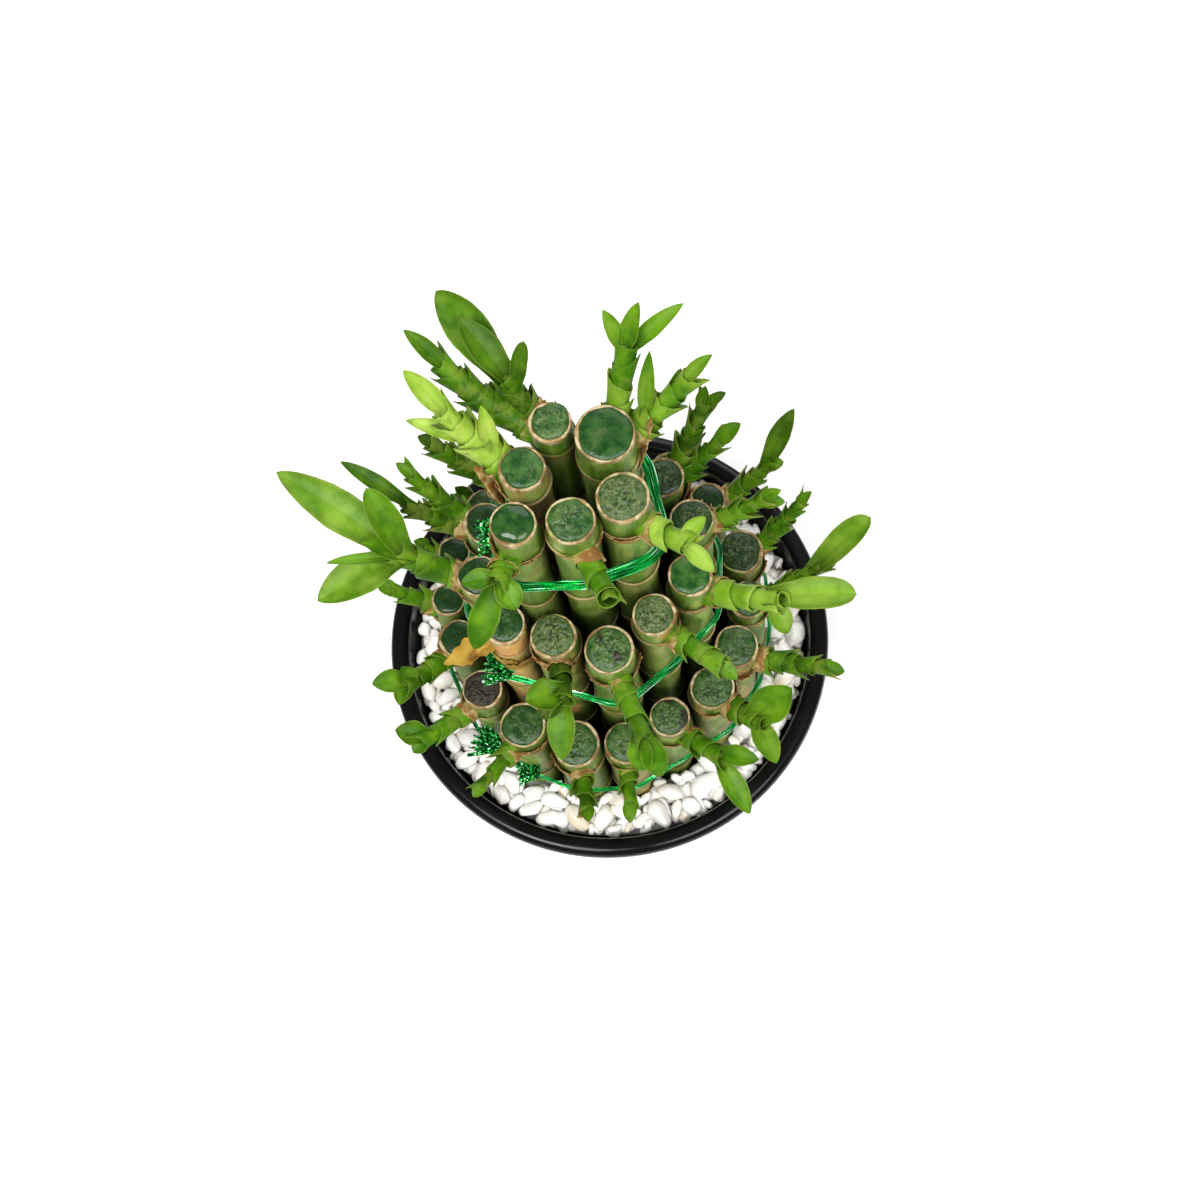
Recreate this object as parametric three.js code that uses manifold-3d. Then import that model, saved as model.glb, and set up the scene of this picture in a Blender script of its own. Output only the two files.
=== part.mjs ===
// A three-tier tower of lucky bamboo canes in a round black bowl with white pebbles.
// Millimetres, +Z up. The origin is the middle of the bowl's flat underside.
import * as THREE from 'three';
import { mergeVertices } from 'three/addons/utils/BufferGeometryUtils.js';
import Module from 'manifold-3d';

const wasm = await Module();
wasm.setup();

// ---------- driving dimensions ----------

const CLEARANCE = 0.3; // between pieces that touch on the real thing

// bowl
const BOWL_HEIGHT = 67;
const BOWL_RADIUS = 67; // outside of the rolled rim
const BOWL_LIP_RADIUS = 61.2; // inside of the rolled rim
const BOWL_WALL_RADIUS = 64.9; // outside of the wall, just under the rim
const BOWL_FOOT_RADIUS = 41;
const BOWL_FLOOR = 10;
const BOWL_FLOOR_RADIUS = 50;
const BOWL_SIDES = 36;

// pebbles
const BED_TOP = 57; // the level the pebbles are sunk into
const BED_INNER_RADIUS = 44.5;
const BED_OUTER_RADIUS = BOWL_LIP_RADIUS - 1.3; // just inside the bowl's wall
const PEBBLE_LENGTH = 10.4;
const PEBBLE_WIDTH = 6.4;
const PEBBLE_RINGS = [
  { radius: 51.2, count: 22, lift: 0.2 },
  { radius: 55.8, count: 25, lift: 0.8 },
];

// canes
const CANE_BOTTOM = BOWL_FLOOR + CLEARANCE;
const CANE_SIDES = 8;
const CANE_JOINTS = 2; // that show above the tier below
const INNER_TOP = 212;
const MIDDLE_TOP = 162;
const OUTER_TOP = 112;
const FIRST_JOINT_DROP = 8; // from the cut top down to the first joint
const JOINT_PITCH = 33;
const JOINT_SWELL = 0.5;
const JOINT_HALF_HEIGHT = 1.7;
const RIND = 0.75; // pale ring of cut rind around the wax
const WAX_HEIGHT = 0.8;
const WAX_DOME = 0.6;

// shoots and leaves
const SHEATH_PITCH = 8.8;
const SHOOT_SIDES = 6;
const SHOOT_FLATNESS = 0.72; // thickness against width
const LEAF_THICKNESS = 1.2;
const LEAF_FOLD = 0.25; // how far the edges rise, against half the width

// foil ties
const TIE_WIDTH = 2;
const TIE_THICKNESS = 1.4; // of the pleats together
const FOIL_END_LENGTH = 8;
const FOIL_END_THICKNESS = 0.8;

// ---------- layout, as seen from above ----------
// Bearings and headings are degrees counter-clockwise from +X, rises are degrees above level.

// A leaf starts at a share of the way along its shoot, and a shoot's middle may turn off its heading.

const leaf = (heading, rise, length, width, start = 0.86) => (
  { heading, rise, length, width, start }
);
const shoot = (heading, rise, reach, girth, leaves = [], turn = 0) => (
  { heading, rise, reach, girth, leaves, turn }
);
const cane = (bearing, out, girth, shoots, extra = 0) => ({ bearing, out, girth, shoots, extra });
const tuft = (bearing, heading) => ({ bearing, heading });

const INNER_CANES = [
  cane(111, 11.5, 10, [
    shoot(137, 45, 19, 6, [
      leaf(128, 10, 26.5, 9.6), leaf(132, 34, 18, 7.6), leaf(83, 62, 17.5, 3.8, 0.5),
    ]),
    shoot(152, 30, 35, 7, [leaf(141, 35, 10, 4)], 11),
  ]),
  cane(35, 10.2, 13.6, [
    shoot(72, 47, 27, 5.8, [leaf(124, 50, 12, 4), leaf(64, 55, 13.5, 4.6), leaf(32, 28, 17, 4.2)]),
    shoot(30, 32, 26, 7.4, [leaf(33, 40, 11, 4), leaf(79, 58, 18.5, 3.8, 0.42)]),
  ], 4),
  cane(181, 10, 10.8, [
    shoot(147, 38, 26, 8, [
      leaf(141, 42, 15.5, 5), leaf(164, 15, 17.5, 4.2, 0.5), leaf(103, 55, 13.5, 4.2, 0.35),
    ]),
  ]),
  cane(228, 17.4, 10.6, [
    shoot(246, 5, 12, 6, [leaf(246, -28, 17.5, 7), leaf(189, 5, 8.5, 5), leaf(300, -15, 8, 6.4)]),
  ]),
  cane(273, 12.5, 11.2, [shoot(297, 5, 19, 5.6)]),
  cane(329, 14.2, 12, [
    shoot(326, 15, 18, 6.4, [leaf(37, 32, 8, 4), leaf(315, 0, 10, 4.2), leaf(359, 50, 5, 3.5)]),
  ]),
];

const MIDDLE_CANES = [
  cane(9, 26.8, 11.2, [shoot(11, 33, 23, 5.4, [leaf(15, 40, 7.5, 3.6), leaf(354, 18, 7, 3.6)])]),
  cane(39, 25, 10.8, [
    shoot(54, 48, 29, 5.4, [leaf(73, 60, 8, 3.6), leaf(28, 30, 8, 3.6)]),
    shoot(32, 32, 21, 6, [leaf(28, 38, 9.5, 4.6)]),
  ]),
  cane(72, 27, 11, [shoot(70, 62, 12, 5)]),
  cane(105, 27, 11, [shoot(100, 64, 12, 5)]),
  cane(138, 27, 11, [shoot(161, 34, 24, 6.4, [leaf(158, 36, 6.5, 3.6)], 6)]),
  cane(170, 25.6, 11, [
    shoot(147, 31, 26, 5.8, [leaf(143, 30, 8, 3.2)]),
    shoot(166, 28, 24, 6, [leaf(152, 30, 22, 4.4)]),
  ]),
  cane(199, 27.7, 10.8, [
    shoot(166, 28, 24, 7, [
      leaf(148, 15, 38.5, 10.4), leaf(121, 42, 21, 6.8), leaf(208, 5, 24.5, 10.6),
      leaf(175, 45, 13.5, 6.4), leaf(189, 18, 20, 3.2),
    ]),
  ]),
  cane(228, 29.6, 10.6, [shoot(205, 5, 9, 5, [leaf(204, -8, 10, 6)])]),
  cane(253, 26.1, 11.6, [
    shoot(280, 34, 21, 5.6, [leaf(195, 20, 9.5, 8.5), leaf(268, -18, 16, 7), leaf(225, -5, 8, 6)]),
  ]),
  cane(282, 29, 12.4, [
    shoot(291, 12, 24, 5.6, [leaf(270, -40, 11.5, 6.6), leaf(297, -40, 14.5, 6.8)]),
  ]),
  cane(311, 26.4, 11, [shoot(322, 15, 22, 6, [leaf(319, 2, 7, 4)])]),
  cane(339, 28, 11.2, [shoot(342, 22, 25, 7.4, [leaf(357, 20, 22, 9), leaf(301, -20, 9.5, 6)])]),
];

const OUTER_CANES = [
  cane(357, 41.5, 11, [shoot(19, 36, 27, 5.6, [leaf(33, 45, 24, 7.8), leaf(20, 20, 7, 4)])]),
  cane(16, 41.5, 12.6, [shoot(34, 42, 28, 5.2, [leaf(38, 45, 7.5, 3.6)])]),
  cane(41, 41.5, 10.2, [shoot(24, 38, 25, 5.6, [leaf(57, 45, 20, 6.2), leaf(13, 20, 5.5, 4.6)])]),
  cane(61, 41.5, 11, [shoot(60, 55, 12, 5)]),
  cane(81, 41.5, 11, [shoot(80, 55, 12, 5)]),
  cane(101, 41.5, 11, [shoot(104, 55, 12, 5)]),
  cane(121, 41.5, 11, [shoot(120, 55, 12, 5)]),
  cane(141, 41.5, 11, [shoot(146, 50, 13, 5)]),
  cane(162, 42.5, 9.4, [shoot(164, 25, 11, 4.6)]),
  cane(181, 42, 9.6, [shoot(168, 30, 20, 6.6, [leaf(165, 32, 6.5, 4.6)])]),
  cane(197, 40.5, 10.8, [
    shoot(227, 34, 25, 6, [leaf(189, 28, 11, 7), leaf(117, 58, 6.5, 6), leaf(248, 15, 7.5, 6)]),
  ]),
  cane(220, 41.5, 11.2, [shoot(219, 20, 24, 6, [leaf(172, 25, 9.5, 7), leaf(228, 2, 6, 4.6)])]),
  cane(241, 42, 12.6, [shoot(234, 14, 21, 5.6, [leaf(234, 8, 6, 3.6)])]),
  cane(262, 42.5, 13, [shoot(279, 25, 20, 5.6, [leaf(278, 20, 6, 4)])]),
  cane(280, 42.5, 11.6, [shoot(274, 14, 17, 5.2, [leaf(270, 2, 7, 4)])]),
  cane(299, 40, 11.2, [shoot(322, 25, 20, 6, [leaf(299, -10, 18.5, 6.4), leaf(347, 20, 12.5, 6)])]),
  cane(319, 41, 12.2, [shoot(322, 30, 19, 7, [leaf(31, 42, 15.5, 10.6), leaf(294, 8, 14, 7)])]),
  cane(338, 41, 12.2, [shoot(346, 18, 27, 6.8, [leaf(346, 8, 8, 4.6)])]),
];

const TIERS = [
  { name: 'inner', canes: INNER_CANES, top: INNER_TOP, tieDrop: 24, tufts: [tuft(203, 190)] },
  { name: 'middle', canes: MIDDLE_CANES, top: MIDDLE_TOP, tieDrop: 27, tufts: [tuft(234, 160)] },
  {
    name: 'outer',
    canes: OUTER_CANES,
    top: OUTER_TOP,
    tieDrop: 30,
    tufts: [tuft(231, 160), tuft(247, 172)],
  },
];

// ---------- materials ----------

const paint = (color, roughness, metalness = 0) => (
  new THREE.MeshStandardMaterial({ color, roughness, metalness })
);
const MATERIALS = {
  bowl: paint(0x0b0b0d, 0.12),
  pebbles: paint(0xeceae6, 0.45),
  inner: paint(0x7fa348, 0.5),
  middle: paint(0x759a42, 0.5),
  outer: paint(0x8aa653, 0.5),
  foil: paint(0x0a9440, 0.25, 0.9),
};

// ---------- small helpers ----------

const radians = (degrees) => (degrees * Math.PI) / 180;

// A point at a bearing and distance from the middle.
function polar(bearing, distance, z = 0) {
  const angle = radians(bearing);
  return new THREE.Vector3(distance * Math.cos(angle), distance * Math.sin(angle), z);
}

// A unit vector along a heading, raised by rise degrees.
function direction(heading, rise) {
  return polar(heading, Math.cos(radians(rise)), Math.sin(radians(rise)));
}

function toSolid(geometry) {
  const bare = geometry.clone();
  bare.deleteAttribute('normal');
  bare.deleteAttribute('uv');
  const merged = mergeVertices(bare, 1e-4);
  return new wasm.Manifold(new wasm.Mesh({
    numProp: 3,
    vertProperties: new Float32Array(merged.attributes.position.array),
    triVerts: new Uint32Array(merged.index.array),
  }));
}

function toMesh(solid, name, material) {
  const { vertProperties, triVerts } = solid.getMesh();
  const geometry = new THREE.BufferGeometry();
  geometry.setAttribute('position', new THREE.BufferAttribute(vertProperties, 3));
  geometry.setIndex(new THREE.BufferAttribute(triVerts, 1));
  geometry.computeVertexNormals();
  const mesh = new THREE.Mesh(geometry, material);
  mesh.name = name;
  return mesh;
}

const join = (solids) => solids.reduce((whole, piece) => whole.add(piece));

// A profile of [radius, height] points turned round the Z axis.
function revolve(profile, sides) {
  const points = profile.map(([radius, height]) => new THREE.Vector2(radius, height));
  return new THREE.LatheGeometry(points, sides).rotateX(Math.PI / 2);
}

// An upright cylinder as tall as the bowl.
function cylinder(radius, sides, spot) {
  const profile = [[0, 0], [radius, 0], [radius, BOWL_HEIGHT], [0, BOWL_HEIGHT]];
  return toSolid(revolve(profile, sides).translate(spot.x, spot.y, 0));
}

// A closed skin over rings of points. Each ring runs counter-clockwise round the way ahead.
function loft(rings, tip) {
  const sides = rings[0].length;
  const points = rings.flat();
  const last = points.length - sides;
  const faces = [];
  for (let ring = 0; ring < rings.length - 1; ring += 1) {
    for (let side = 0; side < sides; side += 1) {
      const a = ring * sides + side;
      const b = ring * sides + ((side + 1) % sides);
      faces.push(a, b, b + sides, a, b + sides, a + sides);
    }
  }
  for (let side = 1; side < sides - 1; side += 1) {
    faces.push(0, side + 1, side);
  }
  points.push(tip);
  for (let side = 0; side < sides; side += 1) {
    faces.push(last + side, last + ((side + 1) % sides), points.length - 1);
  }
  const geometry = new THREE.BufferGeometry().setFromPoints(points);
  geometry.setIndex(faces);
  return geometry;
}

// Axes across a path: left is level, and up leans back from the way ahead.
function crossAxes(ahead, heading) {
  const left = polar(heading + 90, 1);
  const up = new THREE.Vector3().crossVectors(ahead, left).normalize();
  return { left, up };
}

// ---------- bowl ----------

function bowl() {
  const outside = [
    [BOWL_FOOT_RADIUS, 0],
    [BOWL_FOOT_RADIUS + 1, 3],
    [BOWL_WALL_RADIUS - 15, 5.5],
    [BOWL_WALL_RADIUS - 9, 12],
    [BOWL_WALL_RADIUS - 4.8, 24],
    [BOWL_WALL_RADIUS - 1.8, 39],
    [BOWL_WALL_RADIUS, 57],
  ];
  const rim = [
    [BOWL_RADIUS - 0.2, BOWL_HEIGHT - 4.6],
    [BOWL_RADIUS, BOWL_HEIGHT - 2.6],
    [BOWL_RADIUS - 1, BOWL_HEIGHT - 0.7],
    [BOWL_RADIUS - 2.8, BOWL_HEIGHT],
    [BOWL_LIP_RADIUS + 1, BOWL_HEIGHT - 0.4],
    [BOWL_LIP_RADIUS, BOWL_HEIGHT - 2],
  ];
  const inside = [
    [BOWL_LIP_RADIUS - 0.6, 56],
    [BOWL_LIP_RADIUS - 2.2, 40],
    [BOWL_FLOOR_RADIUS + 4, 19],
    [BOWL_FLOOR_RADIUS, BOWL_FLOOR],
  ];
  const profile = [[0, 0], ...outside, ...rim, ...inside, [0, BOWL_FLOOR]];
  return toSolid(revolve(profile, BOWL_SIDES));
}

// ---------- pebbles ----------

function pebble(radius, bearing, turn, tilt, level, size) {
  const stone = new THREE.IcosahedronGeometry(1, 0);
  stone.scale((PEBBLE_LENGTH / 2) * size, (PEBBLE_WIDTH / 2) * size, (PEBBLE_WIDTH / 2) * size);
  stone.rotateY(tilt);
  stone.rotateZ(turn + radians(bearing));
  const spot = polar(bearing, radius, level);
  stone.translate(spot.x, spot.y, spot.z);
  return toSolid(stone);
}

// The bed fills the bowl round the outer canes, which stand in plain holes cut into it.
function pebbleBed() {
  const bed = revolve([
    [BED_INNER_RADIUS, BOWL_FLOOR + CLEARANCE],
    [BOWL_FLOOR_RADIUS - 2 * CLEARANCE, BOWL_FLOOR + CLEARANCE],
    [BED_OUTER_RADIUS, BED_TOP],
    [BED_INNER_RADIUS, BED_TOP],
    [BED_INNER_RADIUS, BOWL_FLOOR + CLEARANCE],
  ], BOWL_SIDES);
  const stones = PEBBLE_RINGS.flatMap(({ radius, count, lift }, ring) => (
    Array.from({ length: count }, (_, index) => {
      const wobble = Math.sin(index * 2.4 + ring);
      const bearing = (index + 0.3 * wobble) * (360 / count);
      const turn = radians(25 + 75 * ((index * 5 + ring * 2) % 4));
      const tilt = 0.35 * Math.cos(index * 1.7);
      return pebble(radius, bearing, turn, tilt, BED_TOP + lift + 0.5 * wobble, 1 - 0.08 * wobble);
    })
  ));
  const inBowl = cylinder(BED_OUTER_RADIUS, BOWL_SIDES, new THREE.Vector3());
  const holes = OUTER_CANES.map(({ bearing, out, girth }) => (
    cylinder(girth / 2 + JOINT_SWELL + CLEARANCE, CANE_SIDES, polar(bearing, out))
  ));
  return join([toSolid(bed), ...stones]).intersect(inBowl).subtract(join(holes));
}

// ---------- shoots and leaves ----------

// A lance-shaped blade, folded along its midrib, that arches over towards its tip.
function leafSolid(root, { heading, rise, length, width }) {
  const tip = root.clone().addScaledVector(direction(heading, rise), length);
  const crown = root.clone().addScaledVector(direction(heading, rise + 14), length * 0.5);
  const rib = new THREE.QuadraticBezierCurve3(root, crown, tip);
  const shape = [[0, 0.45], [0.42, 1], [0.8, 0.72]];
  const rings = shape.map(([along, wide]) => {
    const middle = rib.getPoint(along);
    const { left, up } = crossAxes(rib.getTangent(along), heading);
    const half = (width / 2) * wide;
    const edgeLift = half * LEAF_FOLD;
    const spot = (sideways, lift) => (
      middle.clone().addScaledVector(left, sideways).addScaledVector(up, lift)
    );
    const thick = LEAF_THICKNESS / 2;
    return [spot(half, edgeLift), spot(0, thick), spot(-half, edgeLift), spot(0, -thick)];
  });
  return toSolid(loft(rings, tip));
}

// A stem of clasping sheaths, each flared at its end and drawn out to a point on one side.
function shootSolid(root, { heading, rise, reach, girth, leaves, turn }) {
  const tip = root.clone().addScaledVector(direction(heading, rise), reach);
  const elbow = root.clone().addScaledVector(direction(heading + turn, rise - 12), reach * 0.5);
  const spine = new THREE.QuadraticBezierCurve3(root, elbow, tip);
  const count = Math.max(2, Math.round(reach / SHEATH_PITCH));
  const ringAt = (along, half, lobe = 0) => {
    const ahead = spine.getTangent(along);
    const middle = spine.getPoint(along);
    const { left, up } = crossAxes(ahead, heading);
    return Array.from({ length: SHOOT_SIDES }, (_, side) => {
      const angle = (side / SHOOT_SIDES) * 2 * Math.PI;
      const point = middle.clone();
      const reachOut = lobe !== 0 && Math.abs(Math.cos(angle) - lobe) < 0.1 ? 1.3 : 1;
      point.addScaledVector(left, Math.cos(angle) * half * reachOut);
      point.addScaledVector(up, Math.sin(angle) * half * SHOOT_FLATNESS);
      return reachOut > 1 ? point.addScaledVector(ahead, half * 1.2) : point;
    });
  };
  const rings = [ringAt(0, girth * 0.36)];
  for (let sheath = 1; sheath <= count; sheath += 1) {
    const along = sheath / (count + 0.35);
    const half = (girth / 2) * (1.06 - 0.3 * along);
    const lobe = sheath % 2 === 0 ? 1 : -1;
    rings.push(ringAt(along, half, lobe), ringAt(along, half * 0.74));
  }
  const stem = toSolid(loft(rings, tip));
  return join([stem, ...leaves.map((blade) => leafSolid(spine.getPoint(blade.start), blade))]);
}

// ---------- canes ----------

const jointHeights = (top, stagger) => (
  Array.from({ length: CANE_JOINTS }, (_, index) => (
    top - FIRST_JOINT_DROP - stagger - index * JOINT_PITCH
  ))
);

// A cane with swollen joints and a cut top sealed with a low dome of wax inside the rind.
function caneSolid({ bearing, out, girth, shoots, extra }, tierTop, index) {
  const radius = girth / 2;
  const top = tierTop + extra;
  const stagger = (index % 2) * 4;
  const profile = [[0, top + WAX_HEIGHT + WAX_DOME]];
  profile.push([radius - RIND, top + WAX_HEIGHT], [radius, top]);
  jointHeights(top, stagger).forEach((height) => {
    profile.push([radius, height + JOINT_HALF_HEIGHT]);
    profile.push([radius + JOINT_SWELL, height]);
    profile.push([radius, height - JOINT_HALF_HEIGHT]);
  });
  profile.push([radius, CANE_BOTTOM], [0, CANE_BOTTOM]);
  const spot = polar(bearing, out);
  const stick = revolve(profile.reverse(), CANE_SIDES).translate(spot.x, spot.y, 0);
  const eye = spot.clone().setZ(top - FIRST_JOINT_DROP - stagger / 2);
  return join([toSolid(stick), ...shoots.map((growth) => shootSolid(eye, growth))]);
}

// ---------- foil ties ----------

// The outline of a band pulled tight round a tier's canes, grown by a margin.
function tightOutline(canes, margin) {
  const rims = canes.flatMap(({ bearing, out, girth }) => {
    const middle = polar(bearing, out);
    const radius = girth / 2 + JOINT_SWELL + margin;
    return Array.from({ length: 24 }, (_, step) => middle.clone().add(polar(step * 15, radius)));
  });
  const turn = (a, b, c) => (b.x - a.x) * (c.y - a.y) - (b.y - a.y) * (c.x - a.x);
  const halfHull = (points) => {
    const chain = [];
    points.forEach((point) => {
      while (chain.length > 1 && turn(chain.at(-2), chain.at(-1), point) <= 1e-9) {
        chain.pop();
      }
      chain.push(point);
    });
    return chain.slice(0, -1);
  };
  const sorted = rims.sort((a, b) => a.x - b.x || a.y - b.y);
  return [...halfHull(sorted), ...halfHull([...sorted].reverse())];
}

// A spray of cut foil ends where the tie is twisted shut.
function foilEnds(outline, { bearing, heading }, height) {
  const away = polar(bearing, 1);
  const knot = outline.reduce((best, point) => (
    point.angleTo(away) < best.angleTo(away) ? point : best
  ));
  const strips = [-22, 4, 36].map((fan, index) => {
    const strip = new THREE.BoxGeometry(FOIL_END_LENGTH, FOIL_END_THICKNESS, TIE_WIDTH * 0.8);
    strip.translate(FOIL_END_LENGTH * 0.42, 0, 0).rotateY(radians(index % 2 ? 14 : -12));
    strip.rotateZ(radians(heading + fan));
    return toSolid(strip.translate(knot.x, knot.y, height));
  });
  return join(strips);
}

function tieSolid({ canes, top, tieDrop, tufts }) {
  const outline = tightOutline(canes, CLEARANCE + TIE_THICKNESS);
  const band = new THREE.Shape(outline.map(({ x, y }) => new THREE.Vector2(x, y)));
  const opening = tightOutline(canes, CLEARANCE).map(({ x, y }) => new THREE.Vector2(x, y));
  band.holes.push(new THREE.Path(opening));
  const height = top - tieDrop;
  const ribbon = new THREE.ExtrudeGeometry(band, { depth: TIE_WIDTH, bevelEnabled: false });
  ribbon.translate(0, 0, height - TIE_WIDTH / 2);
  return join([toSolid(ribbon), ...tufts.map((ends) => foilEnds(outline, ends, height))]);
}

// ---------- assembly ----------

const tower = new THREE.Group();
tower.add(toMesh(bowl(), 'pot', MATERIALS.bowl));
tower.add(toMesh(pebbleBed(), 'pebbles', MATERIALS.pebbles));
TIERS.forEach((tier) => {
  const bundle = new THREE.Group();
  tier.canes.forEach((spec, index) => {
    const number = String(index + 1).padStart(2, '0');
    const solid = caneSolid(spec, tier.top, index);
    bundle.add(toMesh(solid, `cane_${tier.name}_${number}`, MATERIALS[tier.name]));
  });
  bundle.add(toMesh(tieSolid(tier), `tie_${tier.name}`, MATERIALS.foil));
  tower.add(bundle);
});

export default tower;
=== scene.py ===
"""A three-tier lucky bamboo tower in a black glazed bowl of white pebbles.

Lengths are millimetres, as in the part's own source, and MM turns them into metres.
Bearings and headings are degrees counter-clockwise from +X, rises are degrees above level.
Every mesh carries two vectors on its points, form and look, which its material reads.
"""

import math
import random
from types import SimpleNamespace as Spec

import bmesh
import bpy
import numpy as np
from mathutils import Matrix, Vector, noise


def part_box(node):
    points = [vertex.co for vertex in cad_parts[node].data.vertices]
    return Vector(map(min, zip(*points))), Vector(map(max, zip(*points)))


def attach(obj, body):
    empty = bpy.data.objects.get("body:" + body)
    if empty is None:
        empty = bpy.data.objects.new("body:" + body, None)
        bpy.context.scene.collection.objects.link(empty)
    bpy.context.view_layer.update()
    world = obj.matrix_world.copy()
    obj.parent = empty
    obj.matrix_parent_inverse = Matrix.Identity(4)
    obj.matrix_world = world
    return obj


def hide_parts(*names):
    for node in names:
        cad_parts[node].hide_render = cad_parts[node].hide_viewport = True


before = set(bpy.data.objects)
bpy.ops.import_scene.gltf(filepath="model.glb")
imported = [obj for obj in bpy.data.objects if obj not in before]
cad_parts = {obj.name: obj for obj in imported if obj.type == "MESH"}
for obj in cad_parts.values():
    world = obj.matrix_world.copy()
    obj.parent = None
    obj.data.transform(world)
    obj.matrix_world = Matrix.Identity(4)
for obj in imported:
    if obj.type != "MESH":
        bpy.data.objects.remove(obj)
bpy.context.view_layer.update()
MM = 0.001

# ---------- the frame's driving sizes ----------

BOWL_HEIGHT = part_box("pot")[1].z / MM
BOWL_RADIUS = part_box("pot")[1].x / MM
BOWL_WALL_RADIUS = BOWL_RADIUS - 2.1
BOWL_LIP_RADIUS = BOWL_RADIUS - 5.8
BOWL_FOOT_RADIUS = 41
BOWL_FLOOR = 10
BOWL_FLOOR_RADIUS = 50
CANE_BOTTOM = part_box("cane_inner_01")[0].z / MM
BED_INNER_RADIUS = 44.5
FIRST_JOINT_DROP = 8
JOINT_PITCH = 33
RIND = 0.75
TIE_GAP = 0.9
LIGHT = 2.0  # how many times brighter than its own colour a level surface is lit


# ---------- small helpers ----------


def polar(bearing, distance, z=0.0):
    angle = math.radians(bearing)
    return np.array([distance * math.cos(angle), distance * math.sin(angle), z])


def direction(heading, rise):
    return polar(heading, math.cos(math.radians(rise)), math.sin(math.radians(rise)))


def unit(vector):
    return vector / np.linalg.norm(vector)


def vec(*parts):
    """Numbers or arrays as the parts of a vector, or of a row or grid of vectors."""
    return np.stack(np.broadcast_arrays(*parts), -1)


def circle(count):
    return np.linspace(0, 2 * math.pi, count, endpoint=False)


def ring(radius, angle, z):
    return vec(radius * np.cos(angle), radius * np.sin(angle), z)


def smooth(x):
    x = np.clip(x, 0, 1)
    return x * x * (3 - 2 * x)


def hump(x, middle, width):
    return np.exp(-((x - middle) / width) ** 2)


def draws(rng, low, high, count):
    return np.array([rng.uniform(low, high) for _ in range(count)])


def ripple(rng, terms, reach):
    """A smooth wobble of an angle that meets itself, as a function, of about the size of reach."""
    parts = []
    for n in range(1, terms + 1):
        parts.append((n, rng.uniform(0, 2 * math.pi), rng.uniform(0.4, 1) / n ** 0.8))
    return lambda angle: reach * sum(k * np.sin(n * angle + phase) for n, phase, k in parts)


def lumps(points, size, seed):
    """Smooth noise from about -1 to 1 at each point, with lumps of about the given size."""
    shift = Vector((seed, seed * 1.7, seed * 0.6))
    flat = np.asarray(points, float).reshape(-1, 3)
    values = [noise.noise(Vector(point) / size + shift) for point in flat]
    return np.array(values).reshape(np.shape(points)[:-1])


def placed(name, data):
    made = bpy.data.objects.new(name, data)
    bpy.context.scene.collection.objects.link(made)
    return made


# ---------- layout, as in the part's source, with looks and a few leaves trimmed to the photo ----------


def leaf(heading, rise, length, width, start=0.86, fresh=0, blunt=0):
    """start: how far up its shoot it leaves. fresh: how much paler than its shoot it is."""
    return Spec(**locals())


def shoot(heading, rise, reach, girth, *leaves, turn=0, tone=0.35, jag=1.0, stop=0.96):
    """tone: from dark to lime. jag: how torn its sheaths are. stop: where the last one ends."""
    return Spec(**locals())


def cane(bearing, out, girth, look, *shoots, extra=0, husks=()):
    """look: the wax's look, how dark the wax is, how yellow the skin is (1 is withered).
    husks: the bearing, the drop from the top, the half spread, the height and the flare."""
    wax, dark, yellow = look
    return Spec(spot=polar(bearing, out), radius=girth / 2, wax=wax, dark=dark, yellow=yellow,
                shoots=shoots, extra=extra, husks=husks)


def ends(bearing, heading, length):
    """A tie's cut ends: where on the loop they are, which way they stand off and how far."""
    return Spec(**locals())


INNER_CANES = [
    cane(111, 11.5, 10, ("rough", 0.1, 0.2),
         shoot(137, 45, 19, 6,
               leaf(128, 10, 26.5, 9.6, fresh=0.12), leaf(132, 34, 18, 7.6, fresh=0.1),
               leaf(65, 61, 14.5, 3.8, 0.7, blunt=1), tone=0.14, jag=0.4),
         shoot(152, 30, 35, 7, leaf(143, 35, 14.5, 4.2, 0.76), turn=11, tone=0.22, jag=0.75, stop=0.84)),
    cane(35, 10.2, 13.6, ("smooth", 0.32, 0.3),
         shoot(72, 47, 27, 5.8,
               leaf(124, 50, 12, 4), leaf(64, 55, 13.5, 4.6), leaf(32, 28, 17, 4.2), tone=0.5, jag=0.4),
         shoot(30, 32, 26, 7.4, leaf(33, 40, 11, 4), leaf(79, 58, 18.5, 3.8, 0.42), tone=0.5, jag=0.9),
         extra=4, husks=[(8, 15, 34, 12, 2.4)]),
    cane(181, 10, 10.8, ("matt", 0.0, 0.8),
         shoot(147, 38, 26, 8,
               leaf(141, 42, 15.5, 5), leaf(164, 15, 17.5, 4.2, 0.5), leaf(103, 55, 13.5, 4.2, 0.35),
               tone=0.92, jag=0.9),
         husks=[(192, 17, 66, 15, 3.4), (150, 13, 45, 9, 1.6)]),
    cane(228, 17.4, 10.6, ("glossy", 0.35, 0.3),
         shoot(246, 5, 12, 6,
               leaf(246, -28, 17.5, 7), leaf(189, 5, 8.5, 5), leaf(300, -15, 8, 6.4), tone=0.42, jag=0.3),
         husks=[(238, 13, 34, 8, 1.0)]),
    cane(273, 12.5, 11.2, ("rough", 0.1, 0.1), shoot(297, 5, 19, 5.6, tone=0.38, jag=0.2)),
    cane(329, 14.2, 12, ("bubbly", 0.1, 0.3),
         shoot(326, 15, 18, 6.4,
               leaf(37, 32, 8, 4), leaf(315, 0, 10, 4.2), leaf(359, 50, 5, 3.5), tone=0.8, jag=0.2)),
]

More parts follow.
